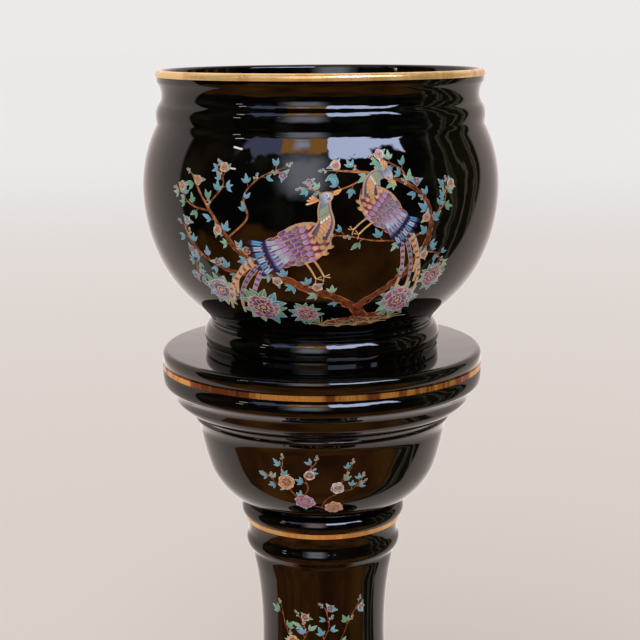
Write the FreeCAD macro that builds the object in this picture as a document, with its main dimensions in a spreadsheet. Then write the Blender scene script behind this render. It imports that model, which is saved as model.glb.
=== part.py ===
"""A glazed earthenware jardiniere on its stand, in millimetres, +Z up.

Two slip-cast pieces are turned about one upright axis: a round-bellied flower pot on a foot ring, and a tall
hollow stand, open underneath, with a thick round table, a bowl-shaped capital, a waisted column between two
groups of rings, and a domed foot on a plinth. The pot is loose on the table and lifts straight off. Lines of
fired gold are set into the glaze. The origin is on the floor, on the axis. The decorated side faces -Y.
"""

import FreeCAD, Part
import math
import os
import re

import Sketcher

# Every driving size: its name, its value in millimetres and what it is. "Bulge" is how far the middle of a
# curved stretch stands off the straight line between its ends. "Reach" is measured away from the axis, and
# "depth" towards it.
SIZES = {
    # the stand's foot, from the floor up
    "stand_wall": (7.0, "thickness of the stand's cast wall"),
    "plinth_radius": (138.0, "the disc that stands on the floor"),
    "plinth_height": (26.0, "height of that disc"),
    "plinth_edge_curve": (5.0, "radius on the disc's upper edge"),
    "plinth_ring_width": (10.0, "width of the ring that touches the floor"),
    "skirt_inset": (16.0, "how far the domed skirt lies in from the plinth's edge"),
    "skirt_bead_reach": (3.0, "how far the bead at the skirt's foot stands out"),
    "skirt_bead_height": (6.0, "height of that bead"),
    "skirt_height": (54.0, "rise of the domed skirt"),
    # the column
    "column_radius": (60.1, "the column's waist"),
    "column_foot_flare": (11.9, "how much wider the column's foot is"),
    "column_low_height": (113.5, "rise from the column's foot to its waist"),
    "column_head_flare": (7.7, "how much wider the column's head is"),
    "column_high_height": (79.0, "rise from the waist to the column's head"),
    # the rings at both ends of the column, outwards from it
    "ring_fillet_reach": (1.6, "hollow fillet beside the column"),
    "ring_fillet_height": (7.3, "height of that fillet"),
    "ring_fillet_bulge": (0.5, "bulge of that fillet"),
    "small_ring_reach": (5.1, "from the fillet to the small ring's widest part"),
    "small_ring_height": (9.2, "height of that stretch"),
    "groove_depth": (2.3, "from the small ring to the groove beside it"),
    "groove_turn_height": (4.5, "height of each half of the curve between them"),
    "groove_reach": (2.6, "from the groove to the gold line"),
    "groove_height": (11.5, "height of that stretch"),
    "gilt_lean": (1.4, "how far the gold line leans outwards"),
    "large_ring_reach": (2.4, "from the gold line to the large ring's widest part"),
    "large_ring_low": (6.0, "height of that stretch"),
    "large_ring_depth": (5.1, "from the large ring to the root of the bowl or the skirt"),
    "large_ring_high": (8.5, "height of that stretch"),
    # the capital, upwards, and the table over it
    "bowl_bottom_height": (39.5, "rise of the bowl's rounded bottom"),
    "bowl_bottom_bulge": (5.4, "bulge of that bottom"),
    "bowl_side_reach": (9.5, "how far the bowl's steep side leans out"),
    "bowl_side_height": (45.0, "rise of that side"),
    "bowl_side_bulge": (1.1, "bulge of that side"),
    "bowl_bead_reach": (3.0, "thin bead round the bowl's top"),
    "bowl_bead_height": (3.0, "height of that bead"),
    "bowl_bead_bulge": (0.4, "bulge of that bead"),
    "hollow_reach": (9.3, "lower, hollow half of the moulding under the table"),
    "hollow_height": (7.8, "rise of that half"),
    "hollow_bulge": (0.9, "bulge of that half"),
    "round_reach": (9.3, "upper, rounded half of that moulding"),
    "round_height": (9.2, "rise of that half"),
    "round_bulge": (1.1, "bulge of that half"),
    "fascia_height": (4.0, "upright strip over the moulding"),
    "cove_reach": (8.4, "slanting hollow under the table"),
    "cove_height": (8.2, "rise of that hollow"),
    "cove_bulge": (0.5, "bulge of that hollow"),
    "table_radius": (150.9, "the table that the pot stands on"),
    "table_height": (33.8, "height of the table's edge, from the hollow to the top"),
    "table_low_reach": (2.3, "how far the table's lower edge is rounded in"),
    "table_low_height": (5.0, "height of that rounding"),
    "table_edge_curve": (5.0, "radius on the table's upper edge"),
    "table_gilt_rise": (15.8, "from the table's lower edge to its gold line"),
    # the pot, from its foot ring up
    "pot_wall": (6.5, "thickness of the pot's cast wall"),
    "pot_floor": (7.0, "thickness of the pot's floor"),
    "foot_recess": (7.0, "depth of the hollow under the pot"),
    "foot_ring_width": (10.0, "width of the ring that the pot stands on"),
    "foot_lip_height": (4.2, "plain lip at the bottom of the foot"),
    "foot_lip_reach": (0.9, "how far that lip leans out"),
    "foot_groove_height": (1.5, "fine groove over that lip"),
    "foot_groove_depth": (0.9, "depth of the groove"),
    "foot_band_reach": (1.9, "from the groove to the widest part of the foot's rounded band"),
    "foot_band_low": (7.7, "rise of that stretch"),
    "foot_band_depth": (5.0, "from that widest part to the ledge under the waist"),
    "foot_band_high": (11.2, "rise of that stretch"),
    "waist_ledge": (1.7, "width of that ledge"),
    "waist_height": (2.2, "upright stretch at the waist"),
    "waist_radius": (104.2, "narrowest part of the pot"),
    "waist_flare_reach": (6.2, "hollow stretch over the waist"),
    "waist_flare_height": (9.6, "rise of that stretch"),
    "waist_flare_bulge": (0.6, "bulge of that stretch"),
    "heel_reach": (13.6, "straight underside of the belly"),
    "heel_height": (12.6, "rise of that underside"),
    "flank_reach": (25.8, "rounded stretch from the underside to the flank"),
    "flank_height": (35.5, "rise of that stretch"),
    "flank_bulge": (1.9, "bulge of that stretch"),
    "belly_reach": (15.2, "from the flank to the widest part"),
    "belly_low": (67.0, "rise of that stretch"),
    "belly_depth": (14.3, "from the widest part to the crease under the shoulder ring"),
    "belly_high": (58.5, "rise of that stretch"),
    "shoulder_reach": (0.9, "how far the shoulder ring swells out"),
    "shoulder_low": (8.0, "rise from the crease to its widest part"),
    "shoulder_depth": (2.2, "from its widest part in to the neck"),
    "shoulder_high": (9.0, "rise of that stretch"),
    "neck_depth": (3.4, "from there to the narrowest part of the neck"),
    "neck_low": (8.8, "rise of that stretch"),
    "neck_flare": (4.2, "from the narrowest part out to the lip"),
    "neck_high": (12.4, "rise of that stretch"),
    "lip_edge_height": (4.0, "upright edge under the gilded lip"),
    "lip_inset": (3.0, "how far in the top of the lip lies"),
    "lip_height": (6.2, "rise of the lip's outer half"),
    "lip_bulge": (1.8, "bulge of that half, over the gold"),
    "lip_bare_bulge": (1.1, "bulge of the clay under the gold"),
    "lip_inside_depth": (3.6, "how far the lip's inner half lies in from its top"),
    "lip_inside_drop": (3.4, "how far it comes down"),
    "lip_inside_bulge": (0.9, "bulge of the inner half"),
    "well_bulge": (1.7, "bulge of the curve between wall and floor inside the pot"),
    # the gold
    "gilt_width": (4.8, "width of the gold lines on the stand"),
    "gilt_depth": (0.4, "how deep each line is set in the glaze"),
    "gilt_proud": (0.1, "how far each line stands out of the glaze"),
}

SHEET = "Sizes"
ON_X_AXIS, ON_Z_AXIS = -1, -2  # the sketch's own axes, as its constraints number them
CONVEX, HOLLOW = 1, -1  # the arc's centre is on the clay's side of it, or on the other side


def make_sheet(doc):
    """The spreadsheet of driving sizes: name, value and meaning, with the name as the value's alias."""
    sheet = doc.addObject("Spreadsheet::Sheet", SHEET)
    for row, (name, (value, meaning)) in enumerate(SIZES.items(), start=1):
        sheet.set(f"A{row}", name)
        sheet.set(f"B{row}", str(value))
        sheet.set(f"C{row}", meaning)
        sheet.setAlias(f"B{row}", name)
    doc.recompute()
    return sheet


def bound(formula):
    """The formula with the name of each size pointing at its cell."""
    return re.sub(r"[a-z_]+", lambda m: f"{SHEET}.{m[0]}" if m[0] in SIZES else m[0], formula)


def total(*terms):
    """A formula that adds sizes, or other formulas, up."""
    return " + ".join(terms)


def less(start, *terms):
    """A formula that takes sizes away from a start."""
    return " - ".join((start, *terms))


def upright(reach, rise):
    """Radius of an arc that is upright at one end and covers that reach across and that rise."""
    return f"(({reach})^2 + ({rise})^2) / (2 * ({reach}))"


def bulging(reach, rise, bulge):
    """Radius of an arc that covers that reach across and that rise, with the given bulge."""
    return f"(({reach})^2 + ({rise})^2) / (8 * ({bulge})) + ({bulge}) / 2"


# The foot of the stand.
SKIRT_RADIUS = "plinth_radius - skirt_inset"
SKIRT_FOOT = "plinth_height + skirt_bead_height"
SKIRT_TOP = total(SKIRT_FOOT, "skirt_height")

# The group of rings at each end of the column: how far each part lies out from the column, and how far from
# the column's end.
FILLET_OUT = "ring_fillet_reach"
FILLET_AWAY = "ring_fillet_height"
SMALL_RING_OUT = total(FILLET_OUT, "small_ring_reach")
SMALL_RING_AWAY = total(FILLET_AWAY, "small_ring_height")
TURN_OUT = less(SMALL_RING_OUT, "groove_depth / 2")
TURN_AWAY = total(SMALL_RING_AWAY, "groove_turn_height")
GROOVE_OUT = less(SMALL_RING_OUT, "groove_depth")
GROOVE_AWAY = total(TURN_AWAY, "groove_turn_height")
GILT_NEAR_OUT = total(GROOVE_OUT, "groove_reach")
GILT_NEAR_AWAY = total(GROOVE_AWAY, "groove_height")
GILT_FAR_OUT = total(GILT_NEAR_OUT, "gilt_lean")
GILT_FAR_AWAY = total(GILT_NEAR_AWAY, "gilt_width")
LARGE_RING_OUT = total(GILT_FAR_OUT, "large_ring_reach")
LARGE_RING_AWAY = total(GILT_FAR_AWAY, "large_ring_low")
ROOT_OUT = less(LARGE_RING_OUT, "large_ring_depth")
ROOT_AWAY = total(LARGE_RING_AWAY, "large_ring_high")

# The column.
COLUMN_FOOT = total(SKIRT_TOP, ROOT_AWAY)
COLUMN_WAIST = total(COLUMN_FOOT, "column_low_height")
COLUMN_HEAD = total(COLUMN_WAIST, "column_high_height")
COLUMN_FOOT_RADIUS = "column_radius + column_foot_flare"
COLUMN_HEAD_RADIUS = "column_radius + column_head_flare"

# The capital and the table. Radii are worked out from the table inwards.
BOWL_ROOT = total(COLUMN_HEAD, ROOT_AWAY)
BOWL_ROOT_RADIUS = total(COLUMN_HEAD_RADIUS, ROOT_OUT)
BOWL_BREAK = total(BOWL_ROOT, "bowl_bottom_height")
BOWL_TOP = total(BOWL_BREAK, "bowl_side_height")
HOLLOW_FOOT = total(BOWL_TOP, "bowl_bead_height")
ROUND_FOOT = total(HOLLOW_FOOT, "hollow_height")
FASCIA_FOOT = total(ROUND_FOOT, "round_height")
COVE_FOOT = total(FASCIA_FOOT, "fascia_height")
TABLE_FOOT = total(COVE_FOOT, "cove_height")
TABLE_TOP = total(TABLE_FOOT, "table_height")
COVE_RADIUS = "table_radius - table_low_reach"
FASCIA_RADIUS = less(COVE_RADIUS, "cove_reach")
ROUND_RADIUS = less(FASCIA_RADIUS, "round_reach")
BOWL_BEAD_RADIUS = less(ROUND_RADIUS, "hollow_reach")
BOWL_TOP_RADIUS = less(BOWL_BEAD_RADIUS, "bowl_bead_reach")
BOWL_BREAK_RADIUS = less(BOWL_TOP_RADIUS, "bowl_side_reach")

# The gold lines that lie on upright walls: their lower edges.
PLINTH_GILT = "(plinth_height - gilt_width) / 2"
TABLE_GILT = total(TABLE_FOOT, "table_gilt_rise")

# The pot, upwards from its foot ring. Radii are worked out from the waist.
FOOT_GROOVE = "foot_lip_height"
BAND_FOOT = total(FOOT_GROOVE, "foot_groove_height")
BAND = total(BAND_FOOT, "foot_band_low")
LEDGE = total(BAND, "foot_band_high")
FLARE_FOOT = total(LEDGE, "waist_height")
HEEL = total(FLARE_FOOT, "waist_flare_height")
FLANK = total(HEEL, "heel_height")
BELLY_FOOT = total(FLANK, "flank_height")
BELLY = total(BELLY_FOOT, "belly_low")
CREASE = total(BELLY, "belly_high")
SHOULDER = total(CREASE, "shoulder_low")
NECK_FOOT = total(SHOULDER, "shoulder_high")
NECK = total(NECK_FOOT, "neck_low")
LIP_FOOT = total(NECK, "neck_high")
LIP = total(LIP_FOOT, "lip_edge_height")
CROWN = total(LIP, "lip_height")
LEDGE_RADIUS = "waist_radius + waist_ledge"
BAND_RADIUS = total(LEDGE_RADIUS, "foot_band_depth")
FOOT_RADIUS = less(BAND_RADIUS, "foot_band_reach")
HEEL_RADIUS = "waist_radius + waist_flare_reach"
FLANK_RADIUS = total(HEEL_RADIUS, "heel_reach")
BELLY_FOOT_RADIUS = total(FLANK_RADIUS, "flank_reach")
BELLY_RADIUS = total(BELLY_FOOT_RADIUS, "belly_reach")
CREASE_RADIUS = less(BELLY_RADIUS, "belly_depth")
SHOULDER_RADIUS = total(CREASE_RADIUS, "shoulder_reach")
NECK_FOOT_RADIUS = less(SHOULDER_RADIUS, "shoulder_depth")
NECK_RADIUS = less(NECK_FOOT_RADIUS, "neck_depth")
LIP_RADIUS = total(NECK_RADIUS, "neck_flare")
CROWN_RADIUS = less(LIP_RADIUS, "lip_inset")
MOUTH_RADIUS = less(CROWN_RADIUS, "lip_inside_depth")


def arc_through(start, end, radius, side):
    """The short arc of that radius between two points. CONVEX puts its centre to the left of its chord."""
    chord = end - start
    middle = (start + end) * 0.5
    left = FreeCAD.Vector(-chord.y, chord.x, 0).normalize()
    to_centre = math.sqrt(radius**2 - (chord.Length / 2) ** 2)
    centre = middle + left * (to_centre * side)
    outward = (middle - centre).normalize() * radius
    return Part.Arc(start, centre + outward, end)


def draw_outline(sketch, steps):
    """Draws a closed outline, anticlockwise, and binds every corner and radius to the sheet.

    Each step is (radius, height) for a straight line to that corner, or (radius, height, curve, side) for an
    arc to it. The first three are formulas of sizes. The first step starts where the last one ends.
    """

    def measure(formula):
        return float(sketch.evalExpression(bound(formula)))

    corners = [FreeCAD.Vector(measure(s[0]), measure(s[1]), 0) for s in steps]
    for i, (_, _, *curve) in enumerate(steps):
        start, end = corners[i - 1], corners[i]
        if curve:
            sketch.addGeometry(arc_through(start, end, measure(curve[0]), curve[1]), False)
        else:
            sketch.addGeometry(Part.LineSegment(start, end), False)
    # a sketch keeps every arc anticlockwise, so a hollow one starts, for the sketch, where its step ends
    first_point = [2 if len(s) == 4 and s[3] == HOLLOW else 1 for s in steps]
    last_point = [3 - point for point in first_point]
    for i, (radius, height, *curve) in enumerate(steps):
        after = (i + 1) % len(steps)
        sketch.addConstraint(Sketcher.Constraint("Coincident", i, last_point[i], after, first_point[after]))
        for kind, axis, formula in (("DistanceX", ON_Z_AXIS, radius), ("DistanceY", ON_X_AXIS, height)):
            if formula == "0":
                sketch.addConstraint(Sketcher.Constraint("PointOnObject", i, last_point[i], axis))
                continue
            distance = Sketcher.Constraint(kind, ON_X_AXIS, 1, i, last_point[i], measure(formula))
            sketch.setExpression(f"Constraints[{sketch.addConstraint(distance)}]", bound(formula))
        if curve:
            turn = Sketcher.Constraint("Radius", i, measure(curve[0]))
            sketch.setExpression(f"Constraints[{sketch.addConstraint(turn)}]", bound(curve[0]))


def turned_body(doc, name, steps, base="0"):
    """A body made by turning an outline round the upright axis. base is the height that it is lifted to."""
    body = doc.addObject("PartDesign::Body", name)
    body.Label = name
    sketch = body.newObject("Sketcher::SketchObject", name + "_outline")
    plane = next(f for f in body.Origin.OriginFeatures if f.Role == "XZ_Plane")
    sketch.AttachmentSupport = [(plane, "")]
    sketch.MapMode = "FlatFace"
    draw_outline(sketch, steps)
    turned = body.newObject("PartDesign::Revolution", name + "_turned")
    turned.Profile = sketch
    turned.ReferenceAxis = (sketch, ["V_Axis"])
    turned.Angle = 360
    body.Tip = turned
    if base != "0":
        body.setExpression("Placement.Base.z", bound(base))
    return body


def seat(near_radius, near, far_radius, far):
    """The shallow seat that a gold line is set in, as corners from one edge to the other."""
    return [
        (near_radius, near),
        (less(near_radius, "gilt_depth"), near),
        (less(far_radius, "gilt_depth"), far),
        (far_radius, far),
    ]


def rings(column_radius, column_end, way):
    """The rings at one end of the column, outwards from its end. way is + for the head and - for the foot."""

    def at(out, away):
        return total(column_radius, out), f"{column_end} {way} ({away})"

    turn = upright("groove_depth / 2", "groove_turn_height")
    near_edge = at(GILT_NEAR_OUT, GILT_NEAR_AWAY)
    far_edge = at(GILT_FAR_OUT, GILT_FAR_AWAY)
    fillet = bulging("ring_fillet_reach", "ring_fillet_height", "ring_fillet_bulge")
    return [
        (*at(FILLET_OUT, FILLET_AWAY), fillet, HOLLOW),
        (*at(SMALL_RING_OUT, SMALL_RING_AWAY), upright("small_ring_reach", "small_ring_height"), CONVEX),
        (*at(TURN_OUT, TURN_AWAY), turn, CONVEX),
        (*at(GROOVE_OUT, GROOVE_AWAY), turn, HOLLOW),
        (*near_edge, upright("groove_reach", "groove_height"), HOLLOW),
        *seat(*near_edge, *far_edge)[1:],
        (*at(LARGE_RING_OUT, LARGE_RING_AWAY), upright("large_ring_reach", "large_ring_low"), CONVEX),
        (*at(ROOT_OUT, ROOT_AWAY), upright("large_ring_depth", "large_ring_high"), CONVEX),
    ]


def backwards(start, steps):
    """The same stretch of outline walked the other way, from its last corner back to start."""
    corners = [start, *(step[:2] for step in steps)]
    return [(*corners[i], *steps[i][2:]) for i in reversed(range(len(steps)))]


def stand_outside():
    """The stand's outline from the floor up to the middle of the table."""
    plinth = [
        ("plinth_radius", "0"),
        *seat("plinth_radius", PLINTH_GILT, "plinth_radius", total(PLINTH_GILT, "gilt_width")),
        ("plinth_radius", "plinth_height - plinth_edge_curve"),
        ("plinth_radius - plinth_edge_curve", "plinth_height", "plinth_edge_curve", CONVEX),
        (total(SKIRT_RADIUS, "skirt_bead_reach"), "plinth_height"),
    ]
    skirt_depth = f"{SKIRT_RADIUS} - ({total(COLUMN_FOOT_RADIUS, ROOT_OUT)})"
    skirt = [
        (SKIRT_RADIUS, SKIRT_FOOT, upright("skirt_bead_reach", "skirt_bead_height"), CONVEX),
        (total(COLUMN_FOOT_RADIUS, ROOT_OUT), SKIRT_TOP, upright(skirt_depth, "skirt_height"), CONVEX),
    ]
    lower_rings = backwards((COLUMN_FOOT_RADIUS, COLUMN_FOOT), rings(COLUMN_FOOT_RADIUS, COLUMN_FOOT, "-"))
    column = [
        ("column_radius", COLUMN_WAIST, upright("column_foot_flare", "column_low_height"), HOLLOW),
        (COLUMN_HEAD_RADIUS, COLUMN_HEAD, upright("column_head_flare", "column_high_height"), HOLLOW),
    ]
    upper_rings = rings(COLUMN_HEAD_RADIUS, COLUMN_HEAD, "+")
    bowl_reach = f"{BOWL_BREAK_RADIUS} - ({BOWL_ROOT_RADIUS})"
    bottom_curve = bulging(bowl_reach, "bowl_bottom_height", "bowl_bottom_bulge")
    side_curve = bulging("bowl_side_reach", "bowl_side_height", "bowl_side_bulge")
    capital = [
        (BOWL_BREAK_RADIUS, BOWL_BREAK, bottom_curve, CONVEX),
        (BOWL_TOP_RADIUS, BOWL_TOP, side_curve, CONVEX),
        (BOWL_BEAD_RADIUS, BOWL_TOP),
        (BOWL_BEAD_RADIUS, HOLLOW_FOOT, bulging("0", "bowl_bead_height", "bowl_bead_bulge"), CONVEX),
        (ROUND_RADIUS, ROUND_FOOT, bulging("hollow_reach", "hollow_height", "hollow_bulge"), HOLLOW),
        (FASCIA_RADIUS, FASCIA_FOOT, bulging("round_reach", "round_height", "round_bulge"), CONVEX),
        (FASCIA_RADIUS, COVE_FOOT),
        (COVE_RADIUS, TABLE_FOOT, bulging("cove_reach", "cove_height", "cove_bulge"), HOLLOW),
    ]
    table_low_edge = total(TABLE_FOOT, "table_low_height")
    table = [
        ("table_radius", table_low_edge, upright("table_low_reach", "table_low_height"), CONVEX),
        *seat("table_radius", TABLE_GILT, "table_radius", total(TABLE_GILT, "gilt_width")),
        ("table_radius", less(TABLE_TOP, "table_edge_curve")),
        ("table_radius - table_edge_curve", TABLE_TOP, "table_edge_curve", CONVEX),
        ("0", TABLE_TOP),
    ]
    return plinth + skirt + lower_rings + column + upper_rings + capital + table


def stand_inside():
    """The stand's hollow, from under the table down to the floor."""
    ceiling = less(TABLE_TOP, "stand_wall")
    skirt_radius = f"{SKIRT_RADIUS} - stand_wall"
    root_radius = less(total(COLUMN_FOOT_RADIUS, ROOT_OUT), "stand_wall")
    bowl_reach = f"{BOWL_BREAK_RADIUS} - ({BOWL_ROOT_RADIUS})"
    return [
        ("0", ceiling),
        (less("table_radius", "stand_wall", "table_edge_curve"), ceiling),
        (
            less("table_radius", "stand_wall"),
            less(ceiling, "table_edge_curve"),
            "table_edge_curve",
            HOLLOW,
        ),
        (less("table_radius", "stand_wall"), total(TABLE_FOOT, "stand_wall")),
        (less(FASCIA_RADIUS, "stand_wall"), total(FASCIA_FOOT, "fascia_height")),
        (less(BOWL_TOP_RADIUS, "stand_wall"), BOWL_TOP),
        (less(BOWL_BREAK_RADIUS, "stand_wall"), BOWL_BREAK),
        (
            less(BOWL_ROOT_RADIUS, "stand_wall"),
            total(BOWL_ROOT, "stand_wall"),
            bulging(bowl_reach, "bowl_bottom_height - stand_wall", "bowl_bottom_bulge"),
            HOLLOW,
        ),
        (less(total(COLUMN_HEAD_RADIUS, GROOVE_OUT), "stand_wall"), total(COLUMN_HEAD, GROOVE_AWAY)),
        (less(COLUMN_HEAD_RADIUS, "stand_wall"), COLUMN_HEAD),
        (
            "column_radius - stand_wall",
            COLUMN_WAIST,
            upright("column_head_flare", "column_high_height"),
            CONVEX,
        ),
        (
            less(COLUMN_FOOT_RADIUS, "stand_wall"),
            COLUMN_FOOT,
            upright("column_foot_flare", "column_low_height"),
            CONVEX,
        ),
        (less(total(COLUMN_FOOT_RADIUS, GROOVE_OUT), "stand_wall"), f"{COLUMN_FOOT} - ({GROOVE_AWAY})"),
        (root_radius, less(SKIRT_TOP, "stand_wall")),
        (
            skirt_radius,
            SKIRT_FOOT,
            upright(f"{skirt_radius} - ({root_radius})", "skirt_height - stand_wall"),
            HOLLOW,
        ),
        ("plinth_radius - plinth_ring_width", "plinth_height - stand_wall"),
        ("plinth_radius - plinth_ring_width", "0"),
    ]


def pot_outside():
    """The pot's outline from the middle of its underside out, and up to the top of its lip."""
    foot = [
        ("0", "foot_recess"),
        (less(FOOT_RADIUS, "foot_ring_width"), "foot_recess"),
        (less(FOOT_RADIUS, "foot_ring_width"), "0"),
        (FOOT_RADIUS, "0"),
        (total(FOOT_RADIUS, "foot_lip_reach"), FOOT_GROOVE),
        (less(FOOT_RADIUS, "foot_groove_depth"), FOOT_GROOVE),
        (less(FOOT_RADIUS, "foot_groove_depth"), BAND_FOOT),
        (FOOT_RADIUS, BAND_FOOT),
        (BAND_RADIUS, BAND, upright("foot_band_reach", "foot_band_low"), CONVEX),
        (LEDGE_RADIUS, LEDGE, upright("foot_band_depth", "foot_band_high"), CONVEX),
        ("waist_radius", LEDGE),
        ("waist_radius", FLARE_FOOT),
    ]
    belly = [
        (
            HEEL_RADIUS,
            HEEL,
            bulging("waist_flare_reach", "waist_flare_height", "waist_flare_bulge"),
            HOLLOW,
        ),
        (FLANK_RADIUS, FLANK),
        (BELLY_FOOT_RADIUS, BELLY_FOOT, bulging("flank_reach", "flank_height", "flank_bulge"), CONVEX),
        (BELLY_RADIUS, BELLY, upright("belly_reach", "belly_low"), CONVEX),
        (CREASE_RADIUS, CREASE, upright("belly_depth", "belly_high"), CONVEX),
    ]
    neck = [
        (SHOULDER_RADIUS, SHOULDER, upright("shoulder_reach", "shoulder_low"), CONVEX),
        (NECK_FOOT_RADIUS, NECK_FOOT, upright("shoulder_depth", "shoulder_high"), CONVEX),
        (NECK_RADIUS, NECK, upright("neck_depth", "neck_low"), HOLLOW),
        (LIP_RADIUS, LIP_FOOT, upright("neck_flare", "neck_high"), HOLLOW),
        (LIP_RADIUS, LIP),
        (CROWN_RADIUS, CROWN, bulging("lip_inset", "lip_height", "lip_bare_bulge"), CONVEX),
    ]
    return foot + belly + neck


def pot_inside():
    """The pot's hollow, from the top of its lip down to the middle of its floor."""
    floor = "foot_recess + pot_floor"
    slant = "pot_wall * cos(45)"  # the belly's underside slopes at about 45 degrees
    flank_reach = f"flank_reach + belly_reach - pot_wall + {slant}"
    return [
        (
            MOUTH_RADIUS,
            less(CROWN, "lip_inside_drop"),
            bulging("lip_inside_depth", "lip_inside_drop", "lip_inside_bulge"),
            CONVEX,
        ),
        (less(NECK_RADIUS, "pot_wall"), NECK),
        (less(CREASE_RADIUS, "pot_wall"), CREASE),
        (less(BELLY_RADIUS, "pot_wall"), BELLY, upright("belly_depth", "belly_high"), HOLLOW),
        (
            less(FLANK_RADIUS, slant),
            total(FLANK, slant),
            upright(flank_reach, f"flank_height + belly_low - {slant}"),
            HOLLOW,
        ),
        (less("waist_radius", slant), total(FLARE_FOOT, slant)),
        (
            less("waist_radius", slant, "pot_wall"),
            floor,
            bulging("pot_wall", f"{FLARE_FOOT} + {slant} - ({floor})", "well_bulge"),
            HOLLOW,
        ),
        ("0", floor),
    ]


def gilt_line(doc, name, low_radius, low, high_radius, high):
    """A thin ring of gold that fills its seat and stands a little proud of the glaze."""
    steps = [
        (less(low_radius, "gilt_depth"), low),
        (total(low_radius, "gilt_proud"), low),
        (total(high_radius, "gilt_proud"), high),
        (less(high_radius, "gilt_depth"), high),
    ]
    return turned_body(doc, name, steps)


def rim_gilding(doc):
    """The gold over the outer half of the pot's lip: a skin that thins out to nothing at both edges."""
    steps = [
        (LIP_RADIUS, LIP, bulging("lip_inset", "lip_height", "lip_bare_bulge"), HOLLOW),
        (CROWN_RADIUS, CROWN, bulging("lip_inset", "lip_height", "lip_bulge"), CONVEX),
    ]
    return turned_body(doc, "rim_gilding", steps, TABLE_TOP)


def stand_gilding(doc):
    """The four gold lines of the stand, from the table down to the plinth."""
    neck_near = (total(COLUMN_HEAD_RADIUS, GILT_NEAR_OUT), total(COLUMN_HEAD, GILT_NEAR_AWAY))
    neck_far = (total(COLUMN_HEAD_RADIUS, GILT_FAR_OUT), total(COLUMN_HEAD, GILT_FAR_AWAY))
    ankle_near = (total(COLUMN_FOOT_RADIUS, GILT_NEAR_OUT), f"{COLUMN_FOOT} - ({GILT_NEAR_AWAY})")
    ankle_far = (total(COLUMN_FOOT_RADIUS, GILT_FAR_OUT), f"{COLUMN_FOOT} - ({GILT_FAR_AWAY})")
    table_top_edge = total(TABLE_GILT, "gilt_width")
    plinth_top_edge = total(PLINTH_GILT, "gilt_width")
    return [
        gilt_line(doc, "table_gilt_line", "table_radius", TABLE_GILT, "table_radius", table_top_edge),
        gilt_line(doc, "neck_gilt_line", *neck_near, *neck_far),
        gilt_line(doc, "ankle_gilt_line", *ankle_far, *ankle_near),
        gilt_line(doc, "plinth_gilt_line", "plinth_radius", PLINTH_GILT, "plinth_radius", plinth_top_edge),
    ]


def build(doc):
    """Every separate piece, as a body of the document."""
    make_sheet(doc)
    stand = turned_body(doc, "pedestal_stand", stand_outside() + stand_inside())
    pot = turned_body(doc, "jardiniere_pot", pot_outside() + pot_inside(), TABLE_TOP)
    return [stand, pot, rim_gilding(doc), *stand_gilding(doc)]


def check(doc, pieces):
    """Stops with a plain message if any object of the document failed or any piece isn't a sound solid."""
    for item in doc.Objects:
        if "Invalid" in item.State or "Error" in item.State:
            raise RuntimeError(f"{item.Name} failed: {item.State}")
    for piece in pieces:
        shape = piece.Shape
        if shape.isNull() or not shape.isValid() or len(shape.Solids) != 1:
            raise RuntimeError(f"{piece.Label} isn't one sound solid")


def export(pieces):
    """Writes each piece to parts/, in a file named after it, and prints its size."""
    os.makedirs("parts", exist_ok=True)
    for piece in pieces:
        piece.Shape.exportStep(f"parts/{piece.Label}.step")
        box = piece.Shape.optimalBoundingBox()
        print(
            f"{piece.Label}: z {box.ZMin:.1f} to {box.ZMax:.1f}, across {box.XLength:.1f}, "
            f"{piece.Shape.Volume / 1000:.1f} cm3"
        )


document = FreeCAD.newDocument("jardiniere_on_stand")
made = build(document)
document.recompute()
check(document, made)
export(made)
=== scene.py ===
"""A black-glazed jardiniere on its stand, with fired gold lines and an enamel picture of two birds.

Everything is in metres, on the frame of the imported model: the floor is z = 0, the axis of the pot and the
stand is the Z axis, and the painted side faces -Y. The pot and the stand are turned from sections of their
solids. The enamel is laid out flat, stroke by stroke, and then wrapped round the wall that carries it.
"""

import logging
import math
import random
from collections.abc import Callable, Sequence
from dataclasses import dataclass, field
from enum import Enum

import bmesh
import bpy
import numpy as np
from mathutils import Matrix, Vector


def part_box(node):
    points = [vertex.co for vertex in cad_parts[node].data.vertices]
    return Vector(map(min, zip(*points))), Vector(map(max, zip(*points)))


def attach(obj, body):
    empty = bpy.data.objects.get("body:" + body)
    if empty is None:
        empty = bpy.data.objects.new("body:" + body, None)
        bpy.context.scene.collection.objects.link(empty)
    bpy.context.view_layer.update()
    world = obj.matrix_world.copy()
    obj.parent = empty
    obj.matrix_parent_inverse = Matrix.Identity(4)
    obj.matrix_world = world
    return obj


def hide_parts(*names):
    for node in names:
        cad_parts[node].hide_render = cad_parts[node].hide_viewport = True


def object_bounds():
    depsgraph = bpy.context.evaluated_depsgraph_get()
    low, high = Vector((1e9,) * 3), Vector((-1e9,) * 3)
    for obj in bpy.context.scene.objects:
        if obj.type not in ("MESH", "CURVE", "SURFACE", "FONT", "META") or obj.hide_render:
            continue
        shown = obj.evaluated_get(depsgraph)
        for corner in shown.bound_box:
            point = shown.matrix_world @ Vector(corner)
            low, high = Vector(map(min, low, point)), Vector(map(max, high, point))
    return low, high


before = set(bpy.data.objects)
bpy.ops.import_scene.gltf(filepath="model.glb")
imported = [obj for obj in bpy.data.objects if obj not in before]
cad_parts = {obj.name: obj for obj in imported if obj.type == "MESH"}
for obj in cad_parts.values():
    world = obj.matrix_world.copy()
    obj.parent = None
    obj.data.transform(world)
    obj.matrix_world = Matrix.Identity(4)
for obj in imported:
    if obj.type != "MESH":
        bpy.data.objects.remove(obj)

CAD_BOX = [list(corner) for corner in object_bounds()]
MM = 0.001
TINT = "tint"  # the attribute that holds the colour of each stroke of enamel
UV = "UVMap"  # u runs across a stroke and v along it

log = logging.getLogger("jardiniere")


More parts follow.
